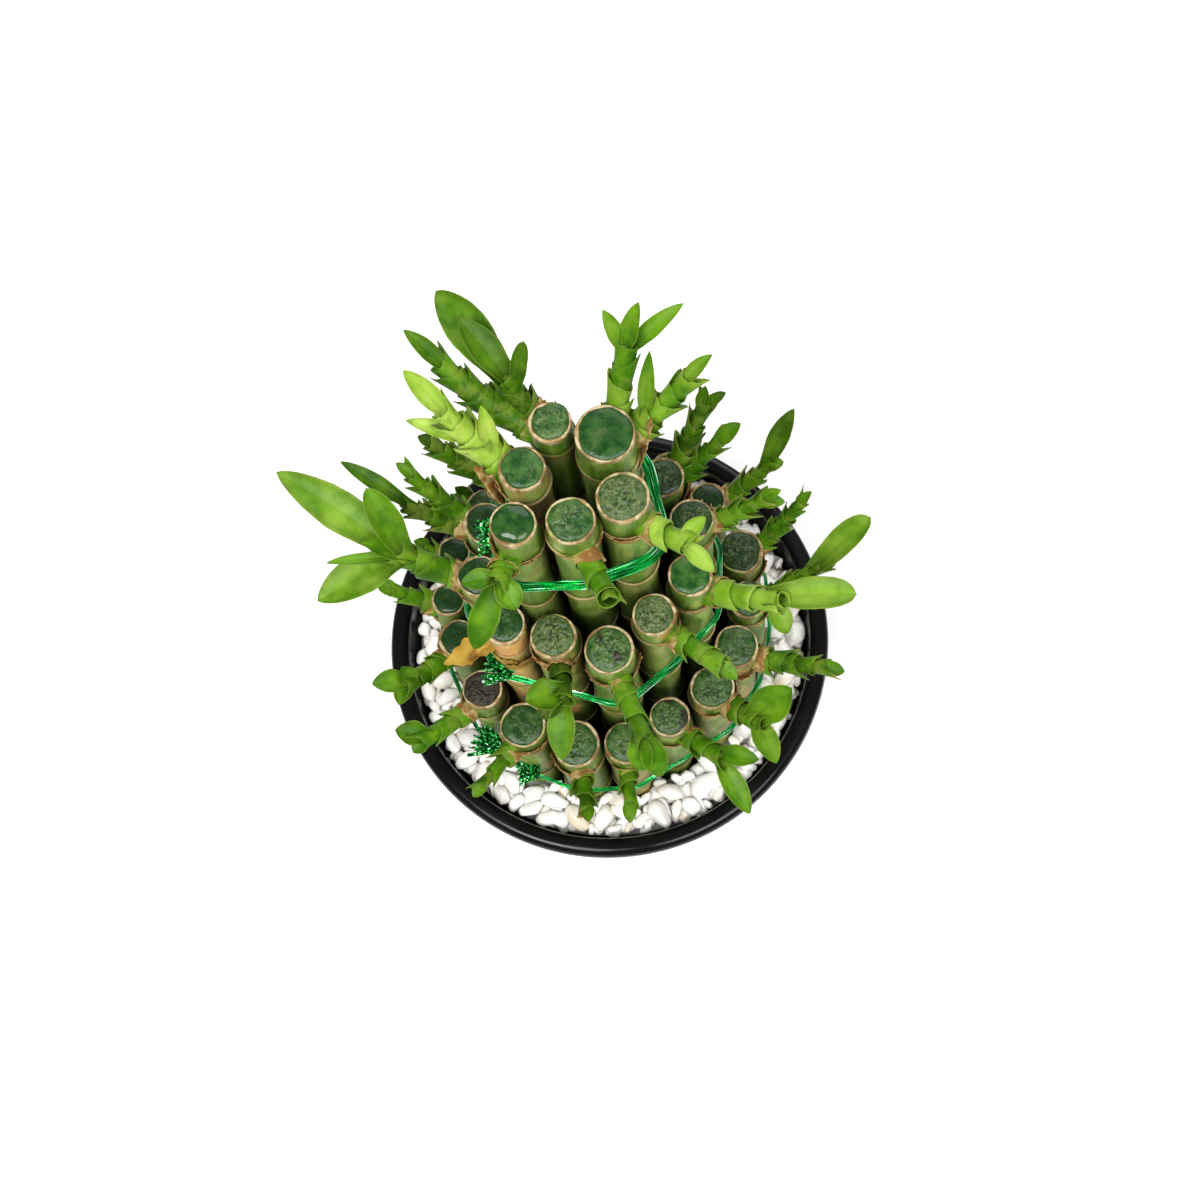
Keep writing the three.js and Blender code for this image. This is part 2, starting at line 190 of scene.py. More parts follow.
MIDDLE_CANES = [
    cane(9, 26.8, 11.2, ("rough", 0.6, 0.3),
         shoot(11, 33, 23, 5.4, leaf(15, 40, 7.5, 3.6), leaf(354, 18, 7, 3.6), tone=0.42, jag=1.0)),
    cane(39, 25, 10.8, ("rough", 0.8, 0.4),
         shoot(54, 48, 29, 5.4, leaf(73, 60, 8, 3.6), leaf(28, 30, 8, 3.6), tone=0.22, jag=1.0),
         shoot(32, 32, 21, 6, leaf(28, 38, 9.5, 4.6), tone=0.34, jag=0.9),
         husks=[(5, 14, 50, 10, 2.0)]),
    cane(72, 27, 11, ("smooth", 0.5, 0.2), shoot(70, 62, 12, 5)),
    cane(105, 27, 11, ("rough", 0.5, 0.2), shoot(100, 64, 12, 5)),
    cane(138, 27, 11, ("smooth", 0.5, 0.2),
         shoot(161, 34, 24, 6.4, leaf(158, 36, 6.5, 3.6), turn=6, tone=0.15, jag=1.0)),
    cane(170, 25.6, 11, ("smooth", 0.8, 0.3),
         shoot(147, 31, 26, 5.8, leaf(143, 30, 8, 3.2), tone=0.3, jag=1.0),
         shoot(166, 28, 24, 6, leaf(152, 30, 22, 4.4), tone=0.15, jag=1.0)),
    cane(199, 27.7, 10.8, ("smooth", 0.8, 0.3),
         shoot(166, 28, 24, 7,
               leaf(148, 15, 38.5, 10.4, fresh=0.14), leaf(121, 42, 21, 7.8, fresh=0.1, blunt=0.5),
               leaf(208, 5, 24.5, 10.6, fresh=0.14), leaf(175, 45, 13.5, 6.4), leaf(189, 18, 20, 3.2),
               tone=0.44, jag=0.5)),
    cane(228, 29.6, 10.6, ("matt", 0.5, 1.0), shoot(205, 5, 9, 5, leaf(204, -8, 10, 6))),
    cane(253, 26.1, 11.6, ("bubbly", 0.0, 0.6),
         shoot(280, 34, 21, 5.6,
               leaf(195, 20, 9.5, 8.5, fresh=0.16), leaf(268, -18, 16, 7, fresh=0.2), leaf(225, -5, 8, 6),
               tone=0.12, jag=0.2)),
    cane(282, 29, 12.4, ("grainy", 0.0, 0.3),
         shoot(291, 12, 24, 5.6,
               leaf(270, -40, 11.5, 6.6, fresh=0.2), leaf(297, -40, 14.5, 6.8, fresh=0.2), tone=0.22,
               jag=0.3)),
    cane(311, 26.4, 11, ("bubbly", 0.1, 0.4),
         shoot(322, 15, 22, 6, leaf(319, 2, 7, 4), tone=0.58, jag=0.5)),
    cane(339, 28, 11.2, ("smooth", 0.05, 0.3),
         shoot(342, 22, 25, 7.4,
               leaf(357, 20, 22, 9, blunt=0.6), leaf(301, -20, 9.5, 6), tone=0.68, jag=0.1)),
]

OUTER_CANES = [
    cane(357, 41.5, 11, ("rough", 0.6, 0.3),
         shoot(19, 36, 27, 5.6,
               leaf(33, 45, 24, 7.8, fresh=0.3, blunt=0.8), leaf(20, 20, 7, 4), tone=0.26, jag=0.9)),
    cane(16, 41.5, 12.6, ("rough", 0.8, 0.5),
         shoot(34, 42, 28, 5.2, leaf(38, 45, 7.5, 3.6), tone=0.4, jag=1.0)),
    cane(41, 41.5, 10.2, ("smooth", 1.0, 0.4),
         shoot(24, 38, 25, 5.6, leaf(57, 45, 20, 6.2), leaf(13, 20, 5.5, 4.6), tone=0.24, jag=1.0)),
    *(cane(bearing, 41.5, 11, (wax, 0.5, 0.2), shoot(heading, 55, 12, 5)) for bearing, wax, heading in (
        (61, "smooth", 60), (81, "rough", 80), (101, "smooth", 104), (121, "matt", 120))),
    cane(141, 41.5, 11, ("rough", 0.5, 0.2), shoot(146, 50, 13, 5)),
    cane(162, 42.5, 9.4, ("smooth", 0.9, 0.3), shoot(164, 25, 11, 4.6)),
    cane(181, 42, 9.6, ("smooth", 0.7, 0.4),
         shoot(168, 30, 20, 6.6, leaf(165, 32, 6.5, 4.6), tone=0.34, jag=0.6)),
    cane(197, 40.5, 10.8, ("smooth", 0.8, 0.5),
         shoot(227, 34, 25, 6,
               leaf(189, 28, 11, 7), leaf(117, 58, 6.5, 6), leaf(248, 15, 7.5, 6), tone=0.3, jag=0.4)),
    cane(220, 41.5, 11.2, ("burnt", 0.5, 0.4),
         shoot(219, 20, 24, 6, leaf(172, 25, 9.5, 7), leaf(228, 2, 6, 4.6), tone=0.34, jag=0.4)),
    cane(241, 42, 12.6, ("matt", 0.4, 0.5),
         shoot(234, 14, 21, 5.6, leaf(234, 8, 6, 3.6), tone=0.3, jag=0.7)),
    cane(262, 42.5, 13, ("rough", 0.3, 0.3),
         shoot(279, 25, 20, 5.6, leaf(278, 20, 6, 4), tone=0.26, jag=0.8)),
    cane(280, 42.5, 11.6, ("rough", 0.1, 0.5),
         shoot(274, 14, 17, 5.2, leaf(270, 2, 7, 4), tone=0.28, jag=0.6)),
    cane(299, 40, 11.2, ("grainy", 0.0, 0.3),
         shoot(322, 25, 20, 6,
               leaf(299, -10, 18.5, 6.4, fresh=0.16), leaf(347, 20, 12.5, 6), tone=0.38, jag=0.4)),
    cane(319, 41, 12.2, ("rough", 0.3, 0.55),
         shoot(322, 30, 19, 7,
               leaf(31, 42, 15.5, 10.6, fresh=0.14), leaf(294, 8, 14, 7, fresh=0.1), tone=0.36, jag=0.1)),
    cane(338, 41, 12.2, ("rough", 0.4, 0.5),
         shoot(346, 18, 27, 6.8, leaf(346, 8, 8, 4.6), tone=0.28, jag=0.9)),
]

TIERS = [
    dict(name="inner", canes=INNER_CANES, top=212, tie_drop=24, ribbon=2.7, tufts=[ends(203, 190, 7.4)]),
    dict(name="middle", canes=MIDDLE_CANES, top=162, tie_drop=27, ribbon=1.6, tufts=[ends(234, 160, 8)]),
    dict(name="outer", canes=OUTER_CANES, top=112, tie_drop=30, ribbon=1.4,
         tufts=[ends(231, 158, 10), ends(247, 172, 7)]),
]

# ---------- meshes ----------


class Build:
    """Gathers grids of points, in millimetres, into one mesh with a form and a look on each point."""

    def __init__(self):
        self.points, self.faces, self.slots, self.form, self.look = [], [], [], [], []
        self.count = 0

    def add(self, points, faces, slot=0, form=(0, 0, 0), look=(0, 0, 0)):
        points = np.asarray(points, float).reshape(-1, 3)
        size = len(points)
        self.points.append(points)
        self.faces.extend([tuple(int(i) + self.count for i in face) for face in faces])
        self.slots.extend([slot] * len(faces))
        for store, given in ((self.form, form), (self.look, look)):
            store.append(np.broadcast_to(np.asarray(given, float).reshape(-1, 3), (size, 3)))
        self.count += size

    def make(self, name, materials, rounded=True):
        mesh = bpy.data.meshes.new(name)
        mesh.from_pydata((np.concatenate(self.points) * MM).tolist(), [], self.faces)
        mesh.polygons.foreach_set("material_index", self.slots)
        mesh.polygons.foreach_set("use_smooth", [rounded] * len(self.faces))
        for label, values in (("form", self.form), ("look", self.look)):
            layer = mesh.attributes.new(label, "FLOAT_VECTOR", "POINT")
            layer.data.foreach_set("vector", np.concatenate(values).astype(np.float32).ravel())
        for item in materials:
            mesh.materials.append(item)
        mesh.update()
        piece = placed(name, mesh)
        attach(piece, "root")
        return piece


def grid_faces(rows, columns, wrap=False):
    """Quads over a grid whose points run column by column in each row."""
    faces = []
    for row in range(rows - 1):
        for column in range(columns if wrap else columns - 1):
            a = row * columns + column
            b = row * columns + (column + 1) % columns
            faces.append((a, b, b + columns, a + columns))
    return faces


def tube_faces(rows, columns):
    """Quads over a tube whose rings run from its foot to its top, with a face at each end."""
    last = (rows - 1) * columns
    lids = [tuple(range(last, last + columns)), tuple(reversed(range(columns)))]
    return grid_faces(rows, columns, True) + lids


def thick_sheet(build, grid, thickness, wrap, slot, form, look):
    """A sheet over grid[row, column], given thickness[row, column], closed at its edges."""
    rows, columns = grid.shape[:2]
    along = np.gradient(grid, axis=0)
    across = (np.roll(grid, -1, 1) - np.roll(grid, 1, 1)) / 2 if wrap else np.gradient(grid, axis=1)
    normal = np.cross(across, along)
    normal = normal / np.maximum(np.linalg.norm(normal, axis=2, keepdims=True), 1e-9)
    half = (np.broadcast_to(thickness, (rows, columns)) / 2)[..., None]
    upper = (grid + normal * half).reshape(-1, 3)
    lower = (grid - normal * half).reshape(-1, 3)
    size = rows * columns
    faces = grid_faces(rows, columns, wrap)
    under = [tuple(reversed([i + size for i in face])) for face in faces]
    places = np.arange(size).reshape(rows, columns)
    borders = [places[0, ::-1], places[-1]] + ([] if wrap else [places[:, 0], places[::-1, -1]])
    rim = []
    for line in borders:
        onward = np.roll(line, -1) if wrap else line[1:]
        rim += [(a, b, b + size, a + size) for a, b in zip(line, onward)]
    doubled = []
    for given in (form, look):
        given = np.broadcast_to(np.asarray(given, float), (rows, columns, 3)).reshape(-1, 3)
        doubled.append(np.concatenate([given, given]))
    build.add(np.concatenate([upper, lower]), faces + under + rim, slot, *doubled)


class Spine:
    """A quadratic curve from root to tip, with the axes across it."""

    def __init__(self, root, elbow, tip, heading):
        self.root, self.elbow, self.tip = root, elbow, tip
        self.left = polar(heading + 90, 1)

    def point(self, t):
        if t <= 1:
            return (1 - t) ** 2 * self.root + 2 * t * (1 - t) * self.elbow + t * t * self.tip
        return self.tip + (t - 1) * 2 * (self.tip - self.elbow)

    def across(self, t):
        """Left and up at t, square to the curve."""
        t = min(t, 1)
        ahead = unit((1 - t) * (self.elbow - self.root) + t * (self.tip - self.elbow))
        left = unit(self.left - ahead * (ahead @ self.left))
        return left, np.cross(ahead, left)


# ---------- materials ----------


def paint(red, green, blue):
    """The colour of a surface that looks like this under the studio's light."""
    linear = [((value / 255 + 0.055) / 1.055) ** 2.4 for value in (red, green, blue)]
    return tuple(value / LIGHT for value in linear)


class Shader:
    """A Principled material that is wired by short calls."""

    def __init__(self, name, roughness, **fixed):
        self.material = bpy.data.materials.new(name)
        self.material.use_nodes = True
        self.tree = self.material.node_tree
        self.surface = self.tree.nodes["Principled BSDF"]
        self.surface.inputs["Roughness"].default_value = roughness
        for socket, value in fixed.items():
            self.surface.inputs[socket.replace("_", " ")].default_value = value

    def node(self, kind, inputs=(), **settings):
        made = self.tree.nodes.new(kind)
        for key, value in settings.items():
            setattr(made, key, value)
        for key, value in dict(inputs).items():
            self.feed(value, made.inputs[key])
        return made

    def feed(self, value, socket):
        if isinstance(value, bpy.types.NodeSocket):
            self.tree.links.new(value, socket)
        else:
            socket.default_value = value

    def noise(self, scale, detail=2.0, stretch=(1, 1, 1), rough=0.5):
        place = self.node("ShaderNodeTexCoord").outputs["Object"]
        place = self.node("ShaderNodeMapping", {"Vector": place, "Scale": stretch}).outputs[0]
        inputs = {"Vector": place, "Scale": scale, "Detail": detail, "Roughness": rough}
        return self.node("ShaderNodeTexNoise", inputs).outputs["Fac"]

    def layer(self, name):
        vector = self.node("ShaderNodeAttribute", attribute_name=name).outputs["Vector"]
        return self.node("ShaderNodeSeparateXYZ", {0: vector}).outputs

    def math(self, operation, a, b=0.0):
        return self.node("ShaderNodeMath", {0: a, 1: b}, operation=operation).outputs[0]

    def times(self, a, b):
        return self.math("MULTIPLY", a, b)

    def plus(self, a, b):
        return self.math("ADD", a, b)

    def jitter(self, value, wobble, amount):
        """A value with noise about it, so that what it marks out is ragged."""
        return self.plus(value, self.times(self.math("SUBTRACT", wobble, 0.5), amount))

    def step(self, value, low, high, start=0.0, end=1.0):
        """Runs smoothly from start to end as value goes from low to high."""
        inputs = {"Value": value, 1: low, 2: high, 3: start, 4: end}
        return self.node("ShaderNodeMapRange", inputs, interpolation_type="SMOOTHSTEP").outputs[0]

    def mix(self, factor, a, b):
        made = self.node("ShaderNodeMix", data_type="RGBA")
        for value, socket in ((factor, made.inputs[0]), (a, made.inputs[6]), (b, made.inputs[7])):
            self.feed((*value, 1) if isinstance(value, tuple) else value, socket)
        return made.outputs[2]

    def blend(self, factor, first, second):
        """From one paint to another."""
        return self.mix(factor, paint(*first), paint(*second))

    def coats(self, base, *coats):
        """Coats over a base, each where its factor says: a paint or a socket, and how strong."""
        for factor, colour, *strength in coats:
            colour = paint(*colour) if isinstance(colour, tuple) else colour
            if strength:
                colour = self.mix(strength[0], base, colour)
            base = self.mix(factor, base, colour)
        return base

    def ramp(self, value, colour, *stops):
        """From colour to colour, each reached as value goes from the stop's low to its high."""
        for low, high, after in stops:
            colour = self.mix(self.step(value, low, high), colour, after)
        return colour

    def finish(self, colour, roughness, height, distance, strength):
        """The surface's colour, roughness and bumps."""
        bump = self.node("ShaderNodeBump", {"Height": height, "Distance": distance, "Strength": strength})
        for name, value in (("Base Color", colour), ("Roughness", roughness), ("Normal", bump.outputs[0])):
            self.feed(value, self.surface.inputs[name])
        return self.material


def skin_material():
    """Cane skin. form: the joint's scar, the place up an internode, the cut edge. look: how yellow,
    how much painted shade falls on it, low down and between the other canes, the dark line above a scar."""
    s = Shader("cane_skin", 0.42, Specular_IOR_Level=0.12)
    scar, phase, rim = s.layer("form")
    yellow, deep, line = s.layer("look")
    streaks = s.noise(420, 3, (1, 1, 0.09))
    blotches = s.noise(120, 5, (1, 1, 0.6), 0.6)
    film = s.noise(70, 4, (1, 1, 0.5), 0.6)
    ragged = s.jitter(scar, blotches, 0.9)
    edge = s.jitter(rim, s.noise(240, 4), 1.1)
    withered = s.blend(s.step(film, 0.44, 0.64), (285, 244, 148), (250, 168, 78))
    tan = s.blend(s.step(blotches, 0.35, 0.6), (160, 112, 56), (226, 200, 138))
    cut = s.blend(s.step(s.noise(700, 4), 0.38, 0.62), (240, 222, 174), (194, 158, 106))
    colour = s.coats(
        s.blend(s.step(streaks, 0.3, 0.7), (102, 146, 42), (154, 188, 78)),
        (s.step(blotches, 0.5, 0.62), (194, 214, 106), 0.8),
        (s.step(s.jitter(yellow, blotches, -1.6), 0.45, 0.8), withered),
        (s.step(film, 0.56, 0.66), (208, 190, 118), 0.6),
        (s.step(film, 0.42, 0.34), (70, 102, 28), 0.5),
        (s.step(phase, 0.70, 0.98), (214, 216, 128), 0.5),
        (s.step(phase, 0.0, 0.22, 0.6, 0), (62, 102, 22)),
        (s.step(ragged, 0.42, 0.8), tan),
        (line, (58, 40, 20)),
        (s.step(edge, 0.76, 0.9), s.coats(cut, (s.step(s.noise(170, 4), 0.5, 0.6), (138, 106, 60), 0.8))),
        # painted shade: darkens the skin low down and where close canes stand round it
        (deep, (12, 16, 6)),
    )
    matt = s.math("MAXIMUM", s.step(ragged, 0.3, 0.8, 0.36, 0.7), s.step(edge, 0.76, 0.9, 0, 0.85))
    fine = s.times(s.noise(1500, 2, (1, 1, 0.2)), 0.4)
    return s.finish(colour, matt, s.plus(s.plus(streaks, fine), blotches), 0.0003, 0.8)


def leaf_material():
    """Shoots and leaves. form: the place across, the place along, how dry. look: tone, shade, mottle."""
    s = Shader("leaf_green", 0.42, Specular_IOR_Level=0.1, Subsurface_Weight=0.08, Subsurface_Scale=0.001)
    across, along, dry = s.layer("form")
    tone, shade, mottled = s.layer("look")
    mottle = s.step(s.noise(150, 3), 0.3, 0.7)
    flecks = s.noise(430, 4)
    patches = s.noise(190, 4, rough=0.6)
    veins = s.math("SINE", s.times(across, 34.0))
    spread = s.math("ABSOLUTE", across)
    ragged = s.jitter(dry, patches, 1.2)
    husk = s.blend(s.step(s.noise(420, 4), 0.35, 0.6), (230, 200, 134), (166, 120, 62))
    ochre = s.blend(mottle, (226, 190, 84), (184, 134, 44))
    ochre = s.coats(ochre, (s.step(patches, 0.52, 0.6), (150, 98, 38), 0.7))
    colour = s.coats(
        s.blend(mottle, (26, 60, 6), (58, 98, 16)),
        (s.step(tone, 0.0, 0.5), s.blend(mottle, (70, 132, 8), (122, 180, 28))),
        (s.step(tone, 0.5, 1.0), s.blend(mottle, (152, 206, 46), (204, 240, 100))),
        (s.times(mottled, s.step(patches, 0.5, 0.6)), (186, 200, 84), 0.6),
        (s.times(mottled, s.step(patches, 0.46, 0.36)), (24, 46, 4), 0.75),
        (s.step(flecks, 0.4, 0.28), (30, 58, 8), 0.2),
        (s.step(veins, -1, 1), (170, 206, 76), 0.035),
        (s.step(spread, 0.92, 1.0), (168, 200, 76), 0.4),
        (s.step(spread, 0.35, 0.85), (20, 52, 4), 0.175),
        (shade, (10, 28, 2), 0.8),
        (s.step(ragged, 0.4, 0.7), s.coats(husk, (s.step(tone, 1.1, 1.3), ochre))),
    )
    height = s.plus(s.times(veins, 0.08), s.noise(1100, 3))
    return s.finish(colour, s.step(ragged, 0.3, 0.8, 0.38, 0.8), height, 0.00018, 0.5)


def wax_material():
    """Sealing wax. form: how rough, how dark, how olive. look: painted shade down in the burst hollows, a
    painted highlight up on the crinkles' ridges, how brown.
    """
    s = Shader("wax_green", 0.3, Specular_IOR_Level=0.22)
    rough, dark, olive = s.layer("form")
    pit, crest, brown = s.layer("look")
    bloom = s.noise(420, 4)
    fine = s.noise(1500, 4, rough=0.6)
    cloudy = s.noise(220, 4, rough=0.6)
    grain = s.step(fine, 0.36, 0.64)
    colour = s.coats(
        s.blend(s.step(bloom, 0.35, 0.68), (30, 84, 32), (72, 126, 54)),
        (s.step(cloudy, 0.52, 0.66), (118, 150, 80), 0.45),
        (s.times(olive, s.step(bloom, 0.3, 0.6, 0.3, 1)), s.blend(grain, (70, 92, 46), (134, 150, 88))),
        (dark, s.blend(bloom, (8, 34, 12), (38, 72, 34))),
        # painted highlight: the crests of the crinkles are paler
        (crest, (180, 196, 122), 0.55),
        (brown, s.blend(grain, (34, 30, 22), (78, 68, 48))),
        # painted shade: the burst pits are darker
        (pit, (8, 20, 6)),
    )
    satin = s.step(s.jitter(rough, bloom, 0.4), 0, 1, 0.12, 0.5)
    height = s.plus(s.times(fine, s.plus(rough, 0.05)), s.times(bloom, 0.3))
    return s.finish(colour, s.times(satin, s.step(crest, 0.3, 1, 1, 0.35)), height, 0.0004, 0.6)


def pebble_material():
    """Polished stones. look: painted shade for lower stones and the bed under them, with a random darker tone
    on some stones, how beige.
    """
    s = Shader("pebble_white", 0.34)
    shade, beige, _ = s.layer("look")
    cloud = s.noise(260, 4)
    white = s.mix(s.step(cloud, 0.3, 0.75), (0.86, 0.85, 0.82), (0.74, 0.72, 0.67))
    tinted = s.times(beige, s.step(s.noise(200, 3), 0.35, 0.6, 0.2, 1))
    # painted shade: shade mixes the stone towards dark grey
    colour = s.mix(shade, s.mix(tinted, white, (0.60, 0.50, 0.34)), (0.16, 0.15, 0.13))
    height = s.plus(s.noise(900, 3), s.times(cloud, 1.5))
    return s.finish(colour, s.step(cloud, 0.2, 0.8, 0.3, 0.6), height, 0.0003, 0.5)


def glaze_material():
    s = Shader("bowl_glaze", 0.1, Specular_IOR_Level=0.16)
    cloud = s.noise(60, 3)
    specks = s.step(s.noise(2600, 2), 0.68, 0.74)
    black = s.mix(cloud, (0.0022, 0.0022, 0.0025), (0.005, 0.005, 0.0052))
    colour = s.mix(s.times(specks, 0.2), black, (0.02, 0.02, 0.02))
    return s.finish(colour, s.step(cloud, 0.3, 0.8, 0.12, 0.3), s.noise(110, 2), 0.0003, 0.25)


def foil_material():
    """Creased foil. form: the place across and along the strip, and whether it is a loose end.
    Its colour holds painted reflections: near black, green and near-white along the pleats, and glints on the
    loose ends.
    """
    s = Shader("foil_green", 0.18, Metallic=0.8)
    across, along, loose = s.layer("form")
    spot = s.node("ShaderNodeCombineXYZ", {0: s.times(across, 5.0), 1: along}).outputs[0]
    pleats = s.node("ShaderNodeTexNoise", {"Vector": spot, "Scale": 1.0, "Detail": 2.0}).outputs["Fac"]
    flash = (0.9, 1.0, 0.93)
    # painted reflections: the colour runs from near black through green to a painted flash along the pleats
    green = s.ramp(pleats, (0.0, 0.045, 0.01), (0.4, 0.5, (0.002, 0.32, 0.05)),
                   (0.5, 0.6, (0.04, 0.80, 0.22)), (0.6, 0.65, flash))
    # painted glints for the crinkled loose ends
    glitter = s.ramp(s.noise(1150, 1), (0.0, 0.03, 0.006), (0.42, 0.5, (0.002, 0.32, 0.04)),
                     (0.54, 0.58, (0.08, 0.85, 0.2)), (0.63, 0.66, flash))
    return s.finish(s.mix(loose, green, glitter), s.step(pleats, 0.3, 0.7, 0.3, 0.12), pleats, 0.0003, 0.4)


def floor_material():
    s = Shader("studio_floor", 0.9, Specular_IOR_Level=0.0)
    s.feed(s.mix(s.noise(3, 1), (0.93, 0.93, 0.93), (0.92, 0.92, 0.92)), s.surface.inputs["Base Color"])
    return s.material


SKIN = skin_material()
LEAF = leaf_material()
WAX = wax_material()
PEBBLE = pebble_material()
GLAZE = glaze_material()
FOIL = foil_material()

# ---------- camera, light and floor ----------

CAMERA_SPOT = Vector((0.0293, -0.1267, 0.5453))  # m
CAMERA_TILT = math.radians(16.488)  # away from straight down
CAMERA_TURN = math.radians(12.946)
CAMERA_LENS = 48.83
LAMP_DISTANCE = 1.4  # m
LAMP_AIM = Vector((0, 0, 0.1))  # about the tower's middle, m
SKY_LEVEL = 0.28
FLOOR_REACH = 3000


def camera():
    lens = bpy.data.cameras.new("photo_camera")
    lens.lens = CAMERA_LENS
    lens.sensor_width = 36
    lens.clip_start = 0.01
    eye = placed("photo_camera", lens)
    tilt, turn = CAMERA_TILT, CAMERA_TURN
    ahead = Vector((-math.sin(tilt) * math.sin(turn), math.sin(tilt) * math.cos(turn), -math.cos(tilt)))
    right = ahead.cross(Vector((0, 1, 0))).normalized()
    up = right.cross(ahead)
    turned = Matrix((right, up, -ahead)).transposed().to_4x4()
    eye.matrix_world = Matrix.Translation(CAMERA_SPOT) @ turned
    bpy.context.scene.camera = eye


def lamp(name, bearing, height, size, level):
    """A round soft light that by itself lights a surface facing it to the given level."""
    away = Vector(direction(bearing, height) * LAMP_DISTANCE)
    light = bpy.data.lights.new(name, "AREA")
    light.shape = "DISK"
    light.size = size
    light.energy = level * (math.pi * LAMP_DISTANCE) ** 2
    lit = placed(name, light)
    lit.location = LAMP_AIM + away
    lit.rotation_euler = (-away).to_track_quat("-Z", "Y").to_euler()


def studio():
    world = bpy.data.worlds.new("studio")
    world.use_nodes = True
    world.node_tree.nodes["Background"].inputs[0].default_value = (1, 1, 1, 1)
    world.node_tree.nodes["Background"].inputs[1].default_value = SKY_LEVEL
    bpy.context.scene.world = world
    bpy.context.scene.view_settings.view_transform = "Standard"
    lamp("key", 236, 64, 0.60, 0.98)
    lamp("fill", 310, 58, 0.70, 0.74)
    lamp("back", 80, 38, 1.00, 0.50)
    build = Build()
    corners = [(x * FLOOR_REACH, y * FLOOR_REACH, 0) for x, y in ((-1, -1), (1, -1), (1, 1), (-1, 1))]
    build.add(corners, [(0, 1, 2, 3)])
    build.make("studio_floor", [floor_material()])


# ---------- bowl ----------

TURNS = 180  # points round the bowl and the bed


def soften(points, passes=3):
    """Rounds an outline by cutting its corners, keeping its two ends."""
    points = np.asarray(points, float)
    for _ in range(passes):
        before, after = points[:-1], points[1:]
        cut = np.empty((2 * len(before), 2))
        cut[0::2] = 0.75 * before + 0.25 * after
        cut[1::2] = 0.25 * before + 0.75 * after
        points = np.concatenate([points[:1], cut, points[-1:]])
    return points


def weld(piece):
    work = bmesh.new()
    work.from_mesh(piece.data)
    bmesh.ops.remove_doubles(work, verts=work.verts, dist=1e-6)
    work.to_mesh(piece.data)
    work.free()


def bowl():
    foot, wall, edge, lip = BOWL_FOOT_RADIUS, BOWL_WALL_RADIUS, BOWL_RADIUS, BOWL_LIP_RADIUS
    high = BOWL_HEIGHT
    underside = [(0, 0.6), (foot - 3.5, 0.6), (foot - 3, 0.1), (foot - 1.5, 0.0), (foot, 0.1)]
    outside = [(foot + 0.8, 1), (foot + 1.2, 3), (wall - 15, 5.3), (wall - 9, 12), (wall - 4.8, 24),
               (wall - 1.8, 39), (wall - 0.2, 52), (wall + 0.1, high - 7)]
    rim = [(edge - 0.5, high - 5.2), (edge + 0.1, high - 3), (edge - 0.3, high - 1), (edge - 1.6, high - 0.1),
           (edge - 3, high + 0.05), (lip + 1.4, high - 0.1), (lip + 0.2, high - 1), (lip - 0.1, high - 2.6)]
    inside = [(lip - 0.6, 56), (lip - 2.2, 40), (BOWL_FLOOR_RADIUS + 4, 19), (BOWL_FLOOR_RADIUS, BOWL_FLOOR)]
    outline = soften(underside + outside + rim + inside + [(0, BOWL_FLOOR)])
    angle = circle(TURNS)
    wave = ripple(random.Random(5), 5, 0.1)(angle)
    grid = np.array([ring(radius + wave * min(1, radius / 40), angle, z) for radius, z in outline])
    build = Build()
    build.add(grid, grid_faces(len(outline), TURNS, True))
    piece = build.make("bowl", [GLAZE])
    weld(piece)
    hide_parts("pot")


# ---------- pebbles ----------

TRIES = 2200  # stones of each size that are dropped on a layer, most of which find no room
# the bed is given painted shade, for the dark gaps between the stones
CORE_TOP = 55.2  # the bed under the stones that can be seen
LAYERS = (  # the stones' height, their shortest and longest by size, how shaded they are
    (59.8, ((7.6, 9.6), (6, 8), (4.6, 6.2), (3.2, 4.4)), 0),
    (57.8, ((6.5, 8.5), (4.5, 6.5)), 0),
    (56.4, ((6.5, 8.5), (4.5, 6.5), (3.5, 4.5)), 0.06),
)


def ball():
    work = bmesh.new()
    bmesh.ops.create_icosphere(work, subdivisions=3, radius=1)
    points = np.array([v.co[:] for v in work.verts])
    faces = [tuple(v.index for v in face.verts) for face in work.faces]
    work.free()
    return points, faces


def scatter(rng, level, sizes, canes):
    """Stones dropped one at a time where they fit between the canes, the wall and each other."""
    stones, taken = [], []
    for smallest, largest in sizes:
        for _ in range(TRIES):
            half_length = rng.uniform(smallest, largest) / 2
            half_width = half_length * rng.uniform(0.54, 0.76)
            reach = half_length - half_width
            bearing, out = rng.uniform(0, 360), rng.uniform(46.5, 60 - half_width)
            spot = polar(bearing, out, level + rng.uniform(-0.6, 0.6))
            turn = rng.uniform(0, 180)
            discs = [spot + polar(turn, reach * k) for k in (-1, 0, 1)]
            if any(math.hypot(d[0], d[1]) + half_width > BOWL_LIP_RADIUS - 0.5 for d in discs):
                continue
            if any(math.dist(d[:2], c[:2]) < half_width + c[2] for d in discs for c in canes):
                continue
            if any(math.dist(d[:2], o[:2]) < (half_width + o[2]) * 0.82 for d in discs for o in taken):
                continue
            taken += [(d[0], d[1], half_width) for d in discs]
            stones.append((spot, turn, half_length, half_width))
    return stones


def turned(points, degrees, a, b):
    """Points turned about the axis square to axes a and b."""
    c, s = math.cos(math.radians(degrees)), math.sin(math.radians(degrees))
    points = points.copy()
    points[:, a], points[:, b] = c * points[:, a] - s * points[:, b], s * points[:, a] + c * points[:, b]
    return points


def stone_points(sphere, rng, spot, turn, half_length, half_width, tilt=None):
    """A tumbled stone: a ball with soft flats worn on it, drawn out to its length."""
    points = sphere.copy()
    for _ in range(10):
        way = unit(np.array([rng.gauss(0, 1) for _ in range(3)]))
        over = np.maximum(0, points @ way - rng.uniform(0.62, 0.88))
        points = points - np.outer(over * 0.88, way)
    points = points * np.array([half_length, half_width, half_width * 0.85]) * 1.08
    points = turned(points, rng.uniform(-16, 16) if tilt is None else tilt, 0, 2)
    return turned(points, turn, 0, 1) + spot


